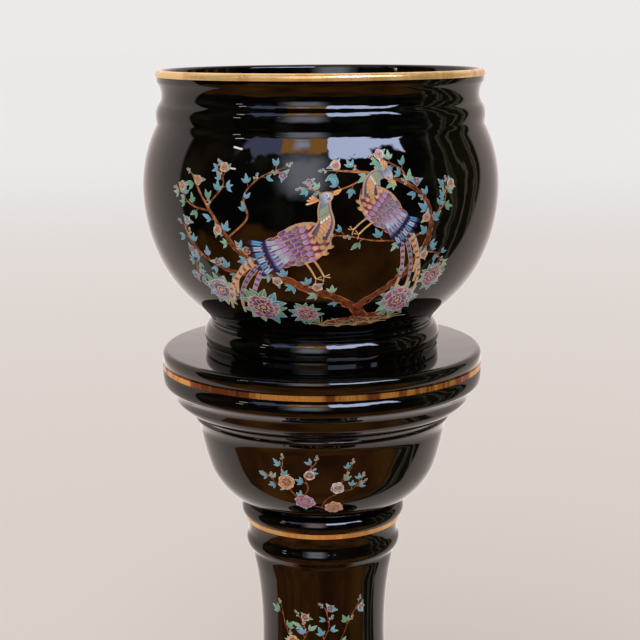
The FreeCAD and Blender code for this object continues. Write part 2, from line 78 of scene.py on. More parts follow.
class Body(Enum):
    """The two bodies that the pieces ride on."""

    STAND = "stand"
    POT = "pot"


class Slot(Enum):
    """The record's material slots."""

    GLAZE = "black_glaze"
    GOLD = "fired_gold"


@dataclass(frozen=True)
class Colour:
    """A colour as it looks on a screen, each part from 0 to 255."""

    red: float
    green: float
    blue: float

    def linear(self, strength: float = 1.0) -> tuple[float, float, float, float]:
        """The same colour as light, for a shader.

        Args:
            strength: multiplies the light, for lamps and for what the gloss reflects.

        Returns:
            Red, green, blue and a full alpha.
        """

        def light(part: float) -> float:
            """One part as light."""
            share = part / 255
            return strength * (share / 12.92 if share <= 0.04045 else ((share + 0.055) / 1.055) ** 2.4)

        return (light(self.red), light(self.green), light(self.blue), 1.0)


# ---------------------------------------------------------------- node graphs


class Number:
    """A number that varies over a surface, for use in ordinary arithmetic."""

    def __init__(self, graph: "Graph", socket: bpy.types.NodeSocket) -> None:
        """Wraps an output socket."""
        self.graph = graph
        self.socket = socket

    def __add__(self, other: "Number | float") -> "Number":
        """self + other."""
        return self.graph.maths("ADD", self, other)

    def __sub__(self, other: "Number | float") -> "Number":
        """self - other."""
        return self.graph.maths("SUBTRACT", self, other)

    def __rsub__(self, other: float) -> "Number":
        """other - self."""
        return self.graph.maths("SUBTRACT", other, self)

    def __mul__(self, other: "Number | float") -> "Number":
        """self * other."""
        return self.graph.maths("MULTIPLY", self, other)

    def __truediv__(self, other: "Number | float") -> "Number":
        """self / other."""
        return self.graph.maths("DIVIDE", self, other)

    def __abs__(self) -> "Number":
        """The size of self without its sign."""
        return self.graph.maths("ABSOLUTE", self)

    __radd__ = __add__
    __rmul__ = __mul__


Input = Number | float | bpy.types.NodeSocket | tuple


class Graph:
    """The nodes of one material or of the world."""

    def __init__(self, tree: bpy.types.NodeTree) -> None:
        """Empties the tree, to build it anew."""
        self.tree = tree
        self.tree.nodes.clear()

    def node(self, kind: str, settings: dict | None = None, inputs: dict | None = None) -> bpy.types.Node:
        """Adds one node.

        Args:
            kind: the node's type without its ShaderNode prefix.
            settings: attributes, which are set first.
            inputs: values or links, by the socket's name or number.

        Returns:
            The node.
        """
        node = self.tree.nodes.new("ShaderNode" + kind)
        for name, value in (settings or {}).items():
            setattr(node, name, value)
        for name, value in (inputs or {}).items():
            if isinstance(value, Number):
                value = value.socket
            if isinstance(value, bpy.types.NodeSocket):
                self.tree.links.new(value, node.inputs[name])
            else:
                node.inputs[name].default_value = value
        return node

    def maths(self, operation: str, first: Input, second: Input = 0.0) -> Number:
        """One sum on numbers."""
        node = self.node("Math", {"operation": operation}, {0: first, 1: second})
        return Number(self, node.outputs[0])

    def step(self, value: Number, low: float, high: float) -> Number:
        """A smooth step.

        Args:
            value: what is compared.
            low: where the step starts. It may be the larger one, for a step down.
            high: where it ends.

        Returns:
            0 before low, 1 beyond high, and smooth between them.
        """
        ranges = {"From Min": low, "From Max": high, "To Min": 0.0, "To Max": 1.0}
        node = self.node("MapRange", {"interpolation_type": "SMOOTHSTEP"}, {"Value": value, **ranges})
        return Number(self, node.outputs["Result"])

    def mix(self, share: Input, first: Input, second: Input, blend: str = "MIX") -> bpy.types.NodeSocket:
        """Lays one colour over another.

        Args:
            share: how much of the second colour there is, from 0 to 1.
            first: the colour below.
            second: the colour above.
            blend: how the two blend.

        Returns:
            The mixed colour.
        """
        settings = {"data_type": "RGBA", "blend_type": blend}
        colour_inputs = {0: share, 6: first, 7: second}
        return self.node("Mix", settings, colour_inputs).outputs[2]

    def noise(self, scale: float, detail: float = 2.0, place: Input | None = None) -> Number:
        """Soft clouds.

        Args:
            scale: how many waves there are in a metre of the object.
            detail: how many finer layers there are.
            place: where the clouds are read, or None for the place on the object.

        Returns:
            About 0 to 1.
        """
        place = place or self.place()
        node = self.node("TexNoise", None, {"Vector": place, "Scale": scale, "Detail": detail})
        return Number(self, node.outputs["Fac"])

    def place(self) -> bpy.types.NodeSocket:
        """The place on the object, in metres."""
        return self.node("TexCoord").outputs["Object"]

    def axes(self, vector: bpy.types.NodeSocket) -> tuple[Number, Number, Number]:
        """The three parts of a vector."""
        node = self.node("SeparateXYZ", None, {0: vector})
        return tuple(Number(self, node.outputs[axis]) for axis in "XYZ")

    def bump(self, height: Number, distance: float, under: Input | None = None) -> bpy.types.NodeSocket:
        """Turns a height into a normal.

        Args:
            height: the height, in units of distance.
            distance: that unit, in metres.
            under: the normal that the bumps are added to, if there is one.

        Returns:
            The normal.
        """
        inputs = {"Height": height, "Distance": distance, "Strength": 1.0}
        if under is not None:
            inputs["Normal"] = under
        return self.node("Bump", None, inputs).outputs["Normal"]


class Finish:
    """A surface finish. Each kind fills in the sockets of one Principled shader."""

    name: str

    def sockets(self, graph: Graph) -> dict[str, Input]:
        """What goes into the shader.

        Args:
            graph: the material's nodes.

        Returns:
            Values and links, by the names of the shader's sockets.
        """
        raise NotImplementedError

    def material(self) -> bpy.types.Material:
        """Makes the material once, and then shares it.

        Returns:
            The finished material.
        """
        found = bpy.data.materials.get(self.name)
        if found:
            return found
        material = bpy.data.materials.new(self.name)
        material.use_nodes = True
        graph = Graph(material.node_tree)
        shader = graph.node("BsdfPrincipled", None, self.sockets(graph))
        graph.node("OutputMaterial", None, {"Surface": shader.outputs[0]})
        return material


@dataclass(frozen=True)
class BlackGlaze(Finish):
    """Lead glaze over dark slip: almost black, brown where it is thin, and smooth but for slow ripples."""

    name: str = "lead_glaze"
    thick: Colour = Colour(4, 4, 4)
    thin: Colour = Colour(16, 9, 5)
    clouds: float = 14.0
    ripples: float = 16.0
    ripple_height: float = 0.0006
    peel: float = 420.0
    peel_height: float = 0.0000015
    specks: float = 60.0
    smooth: float = 0.012
    dulling: float = 0.025
    ior: float = 1.55

    def sockets(self, graph: Graph) -> dict[str, Input]:
        """Ripples and a fine orange peel, with little specks of a duller gloss.

        Args:
            graph: the material's nodes.

        Returns:
            Values and links, by the names of the shader's sockets.
        """
        thinness = graph.step(graph.noise(self.clouds, 3.0), 0.45, 0.8)
        slow = graph.bump(graph.noise(self.ripples, 1.0), self.ripple_height)
        fine = graph.bump(graph.noise(self.peel, 1.0), self.peel_height, slow)
        dulled = graph.step(graph.noise(self.specks, 4.0), 0.55, 0.8)
        return {
            "Base Color": graph.mix(thinness, self.thick.linear(), self.thin.linear()),
            "Roughness": self.smooth + dulled * self.dulling,
            "IOR": self.ior,
            "Normal": fine,
        }


@dataclass(frozen=True)
class BareClay(Finish):
    """Fired earthenware without glaze, as under the foot ring and inside the stand."""

    name: str = "bare_clay"
    pale: Colour = Colour(214, 190, 160)
    dark: Colour = Colour(176, 146, 116)
    clouds: float = 30.0
    grains: float = 900.0
    grain_height: float = 0.0002
    roughness: float = 0.78
    roughening: float = 0.2

    def sockets(self, graph: Graph) -> dict[str, Input]:
        """Pale buff with darker clouds, pits and grains.

        Args:
            graph: the material's nodes.

        Returns:
            Values and links, by the names of the shader's sockets.
        """
        darkness = graph.step(graph.noise(self.clouds, 5.0), 0.35, 0.7)
        grain = graph.noise(self.grains, 3.0)
        return {
            "Base Color": graph.mix(darkness, self.pale.linear(), self.dark.linear()),
            "Roughness": self.roughness + grain * self.roughening,
            "Normal": graph.bump(grain, self.grain_height),
        }


@dataclass(frozen=True)
class FiredGold(Finish):
    """Gold lustre, brushed on round the wheel and fired, with cross streaks where the brush paused.

    bright and deep are its two tones, streaks is how much of the deep one there is, wear how much of the
    glaze shows through, metal how metallic it looks, and fine how many narrow streaks there are in a metre.
    """

    name: str
    bright: Colour
    deep: Colour
    streaks: float
    wear: float
    metal: float
    fine: float = 420.0
    broad: float = 38.0
    worn: float = 260.0
    upright: float = 0.12
    smooth: float = 0.16
    streak_height: float = 0.000008

    def sockets(self, graph: Graph) -> dict[str, Input]:
        """Streaks that run up the line and change quickly round it, and worn places that show the glaze.

        Args:
            graph: the material's nodes.

        Returns:
            Values and links, by the names of the shader's sockets.
        """
        stretch = {0: graph.place(), 1: (1.0, 1.0, self.upright)}
        place = graph.node("VectorMath", {"operation": "MULTIPLY"}, stretch).outputs[0]
        broad = graph.step(graph.noise(self.broad, 3.0, place), 0.38, 0.62)
        narrow = graph.noise(self.fine, 3.0, place)
        tone = graph.step(narrow * 0.6 + broad * 0.4, 0.3, 0.7)
        worn = graph.step(graph.noise(self.worn, 4.0, place), 0.86 - self.wear, 0.92 - self.wear)
        brushed = graph.mix(tone * self.streaks, self.bright.linear(), self.deep.linear())
        return {
            "Base Color": graph.mix(worn, brushed, BlackGlaze.thick.linear()),
            "Metallic": self.metal - worn * (self.metal * 0.9),
            "Roughness": self.smooth + narrow * 0.2 + worn * 0.1,
            "Normal": graph.bump(narrow, self.streak_height),
        }


@dataclass(frozen=True)
class Enamel(Finish):
    """Coloured enamel. A stroke's own colour deepens at its base and has a painted edge and fine lines.

    Widths and reaches are shares of the stroke, and the rest are shares of full strength. slant turns the
    lines into slanting veins, rib adds a middle rib, and bars adds that many dark bars across.
    """

    name: str
    edge: Colour
    edge_width: float = 0.2
    edge_cover: float = 1.0
    edge_gold: float = 0.0
    base_shade: float = 0.5
    base_reach: float = 0.55
    tip_light: float = 0.25
    lines: float = 0.3
    line_count: float = 5.0
    slant: float = 0.0
    rib: float = 0.0
    bars: float = 0.0
    mottle: float = 0.22
    grain: float = 700.0
    grain_height: float = 0.00004
    shade: Colour = Colour(104, 62, 84)
    light: Colour = Colour(250, 244, 236)
    bar: Colour = Colour(40, 26, 60)
    stain: Colour = Colour(96, 78, 70)

    def sockets(self, graph: Graph) -> dict[str, Input]:
        """Works in the stroke's own u and v, so that it follows the stroke round the pot.

        Args:
            graph: the material's nodes.

        Returns:
            Values and links, by the names of the shader's sockets.
        """
        uv = graph.node("UVMap", {"uv_map": UV}).outputs[0]
        u, v, _ = graph.axes(uv)
        across = abs(u * 2.0 - 1.0)
        lined = self.lined(graph, self.shaded(graph, v), u, v, across)
        margin = graph.maths("MAXIMUM", across, v * 1.08 - 0.1)
        rim = graph.step(margin, 1.0 - self.edge_width, 1.0 - self.edge_width * 0.6)
        mottled = graph.step(graph.noise(self.grain, 3.0), 0.3, 0.75)
        rimmed = graph.mix(rim * self.edge_cover, lined, self.edge.linear())
        return {
            "Base Color": graph.mix(mottled * self.mottle, rimmed, self.stain.linear(), "MULTIPLY"),
            "Metallic": rim * self.edge_gold,
            "Roughness": 0.22 + mottled * 0.18,
            "Normal": graph.bump(mottled, self.grain_height),
        }

    def shaded(self, graph: Graph, v: Number) -> bpy.types.NodeSocket:
        """The stroke's own colour, deeper at its base and lighter at its tip.

        Args:
            graph: the material's nodes.
            v: the share of the stroke's length.

        Returns:
            The colour.
        """
        own = graph.node("Attribute", {"attribute_name": TINT}).outputs["Color"]
        base = graph.step(v, self.base_reach, self.base_reach - 0.55) * self.base_shade
        deepened = graph.mix(base, own, self.shade.linear(), "MULTIPLY")
        return graph.mix(graph.step(v, 0.35, 1.0) * self.tip_light, deepened, self.light.linear())

    def lined(
        self, graph: Graph, colour: bpy.types.NodeSocket, u: Number, v: Number, across: Number
    ) -> bpy.types.NodeSocket:
        """The colour with its fine lines or veins, its rib and its bars.

        Args:
            graph: the material's nodes.
            colour: the stroke's colour so far.
            u: the share of its width.
            v: the share of its length.
            across: 0 on its middle line and 1 at its sides.

        Returns:
            The colour.
        """
        wave = graph.maths("SINE", (u * 2.0 - 1.0) * (1.0 - self.slant) * (self.line_count * math.pi))
        if self.slant:
            wave = graph.maths("SINE", (v * self.line_count - across * self.slant) * math.tau)
        colour = graph.mix(graph.step(wave, 0.55, 0.95) * self.lines, colour, self.edge.linear())
        if self.rib:
            middle = graph.step(across, self.rib, self.rib * 0.4)
            colour = graph.mix(middle * 0.7, colour, self.edge.linear())
        if self.bars:
            stripe = graph.step(graph.maths("SINE", v * (self.bars * math.tau)), 0.2, 0.5)
            colour = graph.mix(stripe * 0.75, colour, self.bar.linear())
        return colour


class Gold(Enum):
    """The gold of each line, as it is fired there."""

    RIM = FiredGold(
        name="rim_gold",
        bright=Colour(255, 214, 146),
        deep=Colour(214, 156, 88),
        streaks=0.6,
        wear=0.0,
        metal=0.5,
        fine=90.0,
    )
    TABLE = FiredGold(
        name="table_gold",
        bright=Colour(238, 164, 76),
        deep=Colour(132, 62, 30),
        streaks=0.95,
        wear=0.2,
        metal=0.62,
    )
    NECK = FiredGold(
        name="neck_gold",
        bright=Colour(250, 196, 118),
        deep=Colour(204, 130, 58),
        streaks=0.6,
        wear=0.02,
        metal=0.5,
        fine=160.0,
    )


class Paint(Enum):
    """The kinds of enamel stroke."""

    PETAL = Enamel(
        name="petal_enamel",
        edge=Colour(244, 220, 210),
        edge_cover=0.6,
        base_shade=0.95,
        base_reach=1.0,
        tip_light=0.06,
        lines=0.12,
        line_count=3.0,
    )
    LEAF = Enamel(
        name="leaf_enamel",
        edge=Colour(186, 214, 198),
        base_shade=0.45,
        tip_light=0.05,
        slant=0.9,
        rib=0.14,
    )
    PLUME = Enamel(
        name="plume_enamel",
        edge=Colour(222, 178, 138),
        edge_width=0.24,
        edge_gold=0.25,
        base_shade=0.65,
        tip_light=0.05,
        lines=0.2,
        line_count=3.0,
    )
    QUILL = Enamel(
        name="quill_enamel",
        edge=Colour(28, 34, 84),
        edge_width=0.3,
        base_shade=0.35,
        tip_light=0.15,
        lines=0.25,
        line_count=2.0,
        slant=0.8,
        rib=0.14,
    )
    TAIL = Enamel(
        name="tail_enamel",
        edge=Colour(222, 184, 140),
        edge_width=0.26,
        edge_gold=0.25,
        base_shade=0.2,
        tip_light=0.1,
        lines=0.0,
        rib=0.1,
        bars=13.0,
    )
    BARK = Enamel(
        name="bark_enamel",
        edge=Colour(190, 120, 72),
        edge_width=0.22,
        base_shade=0.1,
        tip_light=0.0,
        lines=0.5,
        mottle=0.95,
        grain=260.0,
    )
    DOT = Enamel(
        name="dot_enamel",
        edge=Colour(250, 232, 196),
        edge_gold=0.1,
        base_shade=0.0,
        tip_light=0.2,
        lines=0.0,
    )


class Tint(Enum):
    """The colours of the enamels."""

    PLUM = Colour(148, 58, 112)
    ROSE = Colour(186, 92, 146)
    MAUVE = Colour(124, 112, 156)
    PURPLE = Colour(118, 68, 150)
    LILAC = Colour(168, 140, 204)
    SKY = Colour(166, 190, 226)
    TEAL = Colour(44, 138, 172)
    BLUE = Colour(76, 150, 204)
    GREEN = Colour(74, 140, 92)
    SAGE = Colour(130, 172, 140)
    PEACH = Colour(236, 168, 122)
    AMBER = Colour(232, 150, 48)
    CORAL = Colour(214, 104, 84)
    CREAM = Colour(240, 228, 206)
    RUSSET = Colour(126, 54, 26)
    TAN = Colour(178, 112, 68)
    STRAW = Colour(204, 158, 92)
    INK = Colour(22, 16, 24)


# ---------------------------------------------------------------- modelling


def only(obj: bpy.types.Object) -> bpy.types.Object:
    """Selects one object and nothing else.

    Args:
        obj: the object, which also becomes the active one.

    Returns:
        The same object.
    """
    bpy.ops.object.select_all(action="DESELECT")
    obj.select_set(True)
    bpy.context.view_layer.objects.active = obj
    return obj


class Editing:
    """Edit mode on one object, with all of it selected at the start."""

    def __init__(self, obj: bpy.types.Object) -> None:
        """Keeps the object for the with block."""
        self.obj = obj

    def __enter__(self) -> "Editing":
        """Goes into edit mode."""
        only(self.obj)
        bpy.ops.object.mode_set(mode="EDIT")
        bpy.ops.mesh.select_all(action="SELECT")
        return self

    def __exit__(self, *_: object) -> None:
        """Goes back to object mode."""
        bpy.ops.object.mode_set(mode="OBJECT")

    def pick(self, wanted: Callable[[Vector], bool]) -> None:
        """Selects some of the vertices.

        Args:
            wanted: says of a vertex's place whether it is selected.
        """
        bpy.ops.mesh.select_all(action="DESELECT")
        mesh = bmesh.from_edit_mesh(self.obj.data)
        for vertex in mesh.verts:
            vertex.select = wanted(vertex.co)
        mesh.select_flush(True)
        bmesh.update_edit_mesh(self.obj.data)


def use_modifier(obj: bpy.types.Object, kind: str, **settings: object) -> None:
    """Adds one modifier and applies it.

    Args:
        obj: the object.
        kind: the modifier's type.
        settings: its settings.
    """
    only(obj)
    modifier = obj.modifiers.new(kind.lower(), kind)
    for name, value in settings.items():
        setattr(modifier, name, value)
    bpy.ops.object.modifier_apply(modifier=modifier.name)


def places(mesh: bpy.types.Mesh) -> np.ndarray:
    """The places of a mesh's vertices.

    Args:
        mesh: the mesh.

    Returns:
        One row for each vertex.
    """
    flat = np.empty(len(mesh.vertices) * 3)
    mesh.vertices.foreach_get("co", flat)
    return flat.reshape(-1, 3)


def move_to(mesh: bpy.types.Mesh, new_places: np.ndarray) -> None:
    """Puts a mesh's vertices there."""
    mesh.vertices.foreach_set("co", np.ascontiguousarray(new_places, dtype=float).ravel())
    mesh.update()


class Section:
    """One half of a turned solid's section, as a chain of corners in the XZ plane."""

    def __init__(self, node: str) -> None:
        """Cuts the section out of a copy of the node's mesh.

        Args:
            node: the name of the solid.
        """
        self.node = node
        only(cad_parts[node])
        bpy.ops.object.duplicate()
        self.obj = bpy.context.view_layer.objects.active
        self.obj.hide_render = False
        with Editing(self.obj):
            bpy.ops.mesh.remove_doubles(threshold=0.001 * MM)
            bpy.ops.mesh.bisect(plane_co=(0, 0, 0), plane_no=(1, 0, 0), clear_inner=True)
            bpy.ops.mesh.select_all(action="SELECT")
            bpy.ops.mesh.bisect(plane_co=(0, 0, 0), plane_no=(0, 1, 0), clear_inner=True, clear_outer=True)

    def radii(self, heights: np.ndarray) -> np.ndarray:
        """The outermost radius at each height.

        Args:
            heights: in metres.

        Returns:
            One radius for each height, 0 where there is none.
        """
        mesh = self.obj.data
        spots = places(mesh)[:, [0, 2]]
        ends = np.array([edge.vertices[:] for edge in mesh.edges])
        start, end = spots[ends[:, 0]], spots[ends[:, 1]]
        best = np.zeros(len(heights))
        for (r0, z0), (r1, z1) in zip(start, end, strict=True):
            if abs(z1 - z0) < 1e-9:
                continue
            share = (heights - z0) / (z1 - z0)
            inside = (share >= 0) & (share <= 1)
            best = np.where(inside, np.maximum(best, r0 + share * (r1 - r0)), best)
        return best

    def turn(self, name: str, steps: int) -> bpy.types.Object:
        """Spins the chain once round the axis.

        Args:
            name: the piece's name.
            steps: how many faces there are round it.

        Returns:
            The closed shell, smooth except at its real edges.
        """
        obj = self.obj
        obj.name = obj.data.name = name
        obj.data.materials.clear()
        with Editing(obj):
            bpy.ops.mesh.spin(steps=steps, angle=2 * math.pi, center=(0, 0, 0), axis=(0, 0, 1))
            bpy.ops.mesh.select_all(action="SELECT")
            bpy.ops.mesh.remove_doubles(threshold=0.002 * MM)
            bpy.ops.mesh.normals_make_consistent(inside=False)
        only(obj)
        bpy.ops.object.shade_smooth_by_angle(angle=math.radians(28))
        return obj


def show(obj: bpy.types.Object, body: Body, slot: Slot, *nodes: str) -> bpy.types.Object:
    """Lets a piece ride and hides the solids that it stands for.

    Args:
        obj: the piece.
        body: what it rides on.
        slot: the material slot of the record that it belongs to; not used.
        nodes: the solids that it replaces.

    Returns:
        The same piece.
    """
    obj.hide_render = obj.hide_viewport = False
    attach(obj, body.value)
    if nodes:
        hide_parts(*nodes)
    log.info("%s: %d faces, on %s", obj.name, len(obj.data.polygons), body.value)
    return obj


def glaze(obj: bpy.types.Object, bare: Callable[[bpy.types.MeshPolygon], bool]) -> None:
    """Glazes a casting.

    Args:
        obj: the casting.
        bare: says of a face whether it stays bare clay.
    """
    obj.data.materials.append(BlackGlaze().material())
    obj.data.materials.append(BareClay().material())
    for face in obj.data.polygons:
        face.material_index = int(bare(face))


def gild(node: str, name: str, gold: Gold, body: Body, steps: int) -> None:
    """Turns one gold line from its solid.

    Args:
        node: the solid.
        name: the piece's name.
        gold: how the line was fired.
        body: what it rides on.
        steps: how many faces there are round it.
    """
    line = Section(node).turn(name, steps)
    line.data.materials.append(gold.value.material())
    show(line, body, Slot.GOLD, node)


# ---------------------------------------------------------------- the enamel


class Outline(Enum):
    """The outlines of strokes: half the width, as a share of the widest, at each share of the length."""

    LEAF = "leaf"
    PETAL = "petal"
    SCALE = "scale"
    QUILL = "quill"
    EGG = "egg"
    ROUND = "round"

    def half_width(self, along: float) -> float:
        """The outline's formula.

        Args:
            along: the share of the length.

        Returns:
            The share of the widest half.
        """
        if self is Outline.LEAF:
            return math.sin(math.pi * along**0.8)
        if self is Outline.PETAL:
            return max(math.sin(math.pi * along**1.5), 0.0) ** 0.6
        if self is Outline.SCALE:
            return along**0.45 * (1 - along**5) ** 0.5
        if self is Outline.QUILL:
            return along**0.35 * (1 - along**9) ** 0.5
        if self is Outline.EGG:
            return max(math.sin(math.pi * along**0.85), 0.0) ** 0.65
        return 2 * math.sqrt(max(along * (1 - along), 0.0))


@dataclass(frozen=True)
class StrokeShape:
    """One stroke of the brush, of unit length and width, upright in the XZ plane with its base at z = 0."""

    outline: Outline
    rows: int
    columns: int = 2

    def make(self) -> bpy.types.Object:
        """Draws the rows of a plane grid in to the outline.

        Returns:
            The stroke.
        """
        bpy.ops.object.select_all(action="DESELECT")
        bpy.ops.mesh.primitive_grid_add(
            x_subdivisions=self.columns,
            y_subdivisions=self.rows,
            size=1.0,
            location=(0, 0, 0.5),
            rotation=(math.pi / 2, 0, 0),
        )
        obj = bpy.context.active_object
        obj.name = "stroke_" + self.outline.value
        bpy.ops.object.transform_apply(location=True, rotation=True, scale=True)
        half_row = 0.5 / self.rows
        with Editing(obj) as edit:
            for row in range(self.rows + 1):
                height = row / self.rows
                edit.pick(lambda co, height=height: abs(co.z - height) < half_row)
                width = max(self.outline.half_width(height), 0.0005)
                bpy.ops.transform.resize(value=(width, 1, 1), center_override=(0, 0, height))
        return obj


SHAPES = {
    Outline.LEAF: StrokeShape(Outline.LEAF, 7),
    Outline.PETAL: StrokeShape(Outline.PETAL, 6),
    Outline.SCALE: StrokeShape(Outline.SCALE, 5),
    Outline.QUILL: StrokeShape(Outline.QUILL, 8),
    Outline.EGG: StrokeShape(Outline.EGG, 10, 8),
    Outline.ROUND: StrokeShape(Outline.ROUND, 6, 2),
}

Spot = tuple[float, float]  # degrees round from the front, and millimetres of height
Flat = np.ndarray  # the same place laid out flat: metres across, metres up along the wall


@dataclass
class Path:
    """A smooth line through flat places."""

    corners: Sequence[Flat]
    per_span: int = 7
    points: np.ndarray = field(init=False)

    def __post_init__(self) -> None:
        """Draws a curve that passes through every corner."""
        p = np.array(self.corners, float)
        p = np.vstack([2 * p[0] - p[1], p, 2 * p[-1] - p[-2]])
        drawn = []
        for i in range(1, len(p) - 2):
            for t in np.arange(self.per_span) / self.per_span:
                bend = 2 * p[i - 1] - 5 * p[i] + 4 * p[i + 1] - p[i + 2]
                swing = 3 * p[i] - p[i - 1] - 3 * p[i + 1] + p[i + 2]
                drawn.append(p[i] + 0.5 * t * (p[i + 1] - p[i - 1] + t * (bend + t * swing)))
        self.points = np.array([*drawn, p[-2]])

    def at(self, share: float) -> tuple[Flat, float]:
        """Looks up one place on the line.

        Args:
            share: the share of the line, from 0 to 1.

        Returns:
            The place, and the heading there in radians clockwise from straight up.
        """
        spot = share * (len(self.points) - 1)
        low = min(int(spot), len(self.points) - 2)
        place = self.points[low] + (spot - low) * (self.points[low + 1] - self.points[low])
        ahead = self.points[low + 1] - self.points[low]
        return place, math.atan2(ahead[0], ahead[1])


class Wall:
    """The stretch of a turned wall that carries a picture, and how a flat place lies on it."""

    def __init__(self, section: Section, low: float, high: float, steps: int = 500) -> None:
        """Measures the wall between two heights.

        Args:
            section: the turned piece's section.
            low: the picture's lowest height, in metres.
            high: its highest.
            steps: how many places are measured.
        """
        self.heights = np.linspace(low, high, steps)
        self.radii = section.radii(self.heights)
        walked = np.hypot(np.diff(self.heights), np.diff(self.radii))
        self.rises = np.concatenate([[0.0], np.cumsum(walked)])
        self.reference = float(self.radii.mean())
        self.lean = np.gradient(self.radii, self.rises)
        self.climb = np.gradient(self.heights, self.rises)

    def flat(self, spot: Spot) -> Flat:
        """Where a place on the wall lies on the flat sheet.

        Args:
            spot: the place, in degrees round and millimetres of height.

        Returns:
            The same place on the sheet.
        """
        rise = np.interp(spot[1] * MM, self.heights, self.rises)
        return np.array([math.radians(spot[0]) * self.reference, rise])

    def stretch(self, rise: float) -> float:
        """How much wider the flat sheet is than the wall there."""
        return self.reference / float(np.interp(rise, self.rises, self.radii))

    def wrap(self, mesh: bpy.types.Mesh) -> None:
        """Bends a flat mesh onto the wall.

        Args:
            mesh: the mesh, whose -Y side faces outwards.
        """
        across, depth, rise = places(mesh).T
        angle = across / self.reference
        lean = np.interp(rise, self.rises, self.lean)
        climb = np.interp(rise, self.rises, self.climb)
        radius = np.interp(rise, self.rises, self.radii) - depth * climb
        height = np.interp(rise, self.rises, self.heights) + depth * lean
        move_to(mesh, np.column_stack([radius * np.sin(angle), -radius * np.cos(angle), height]))


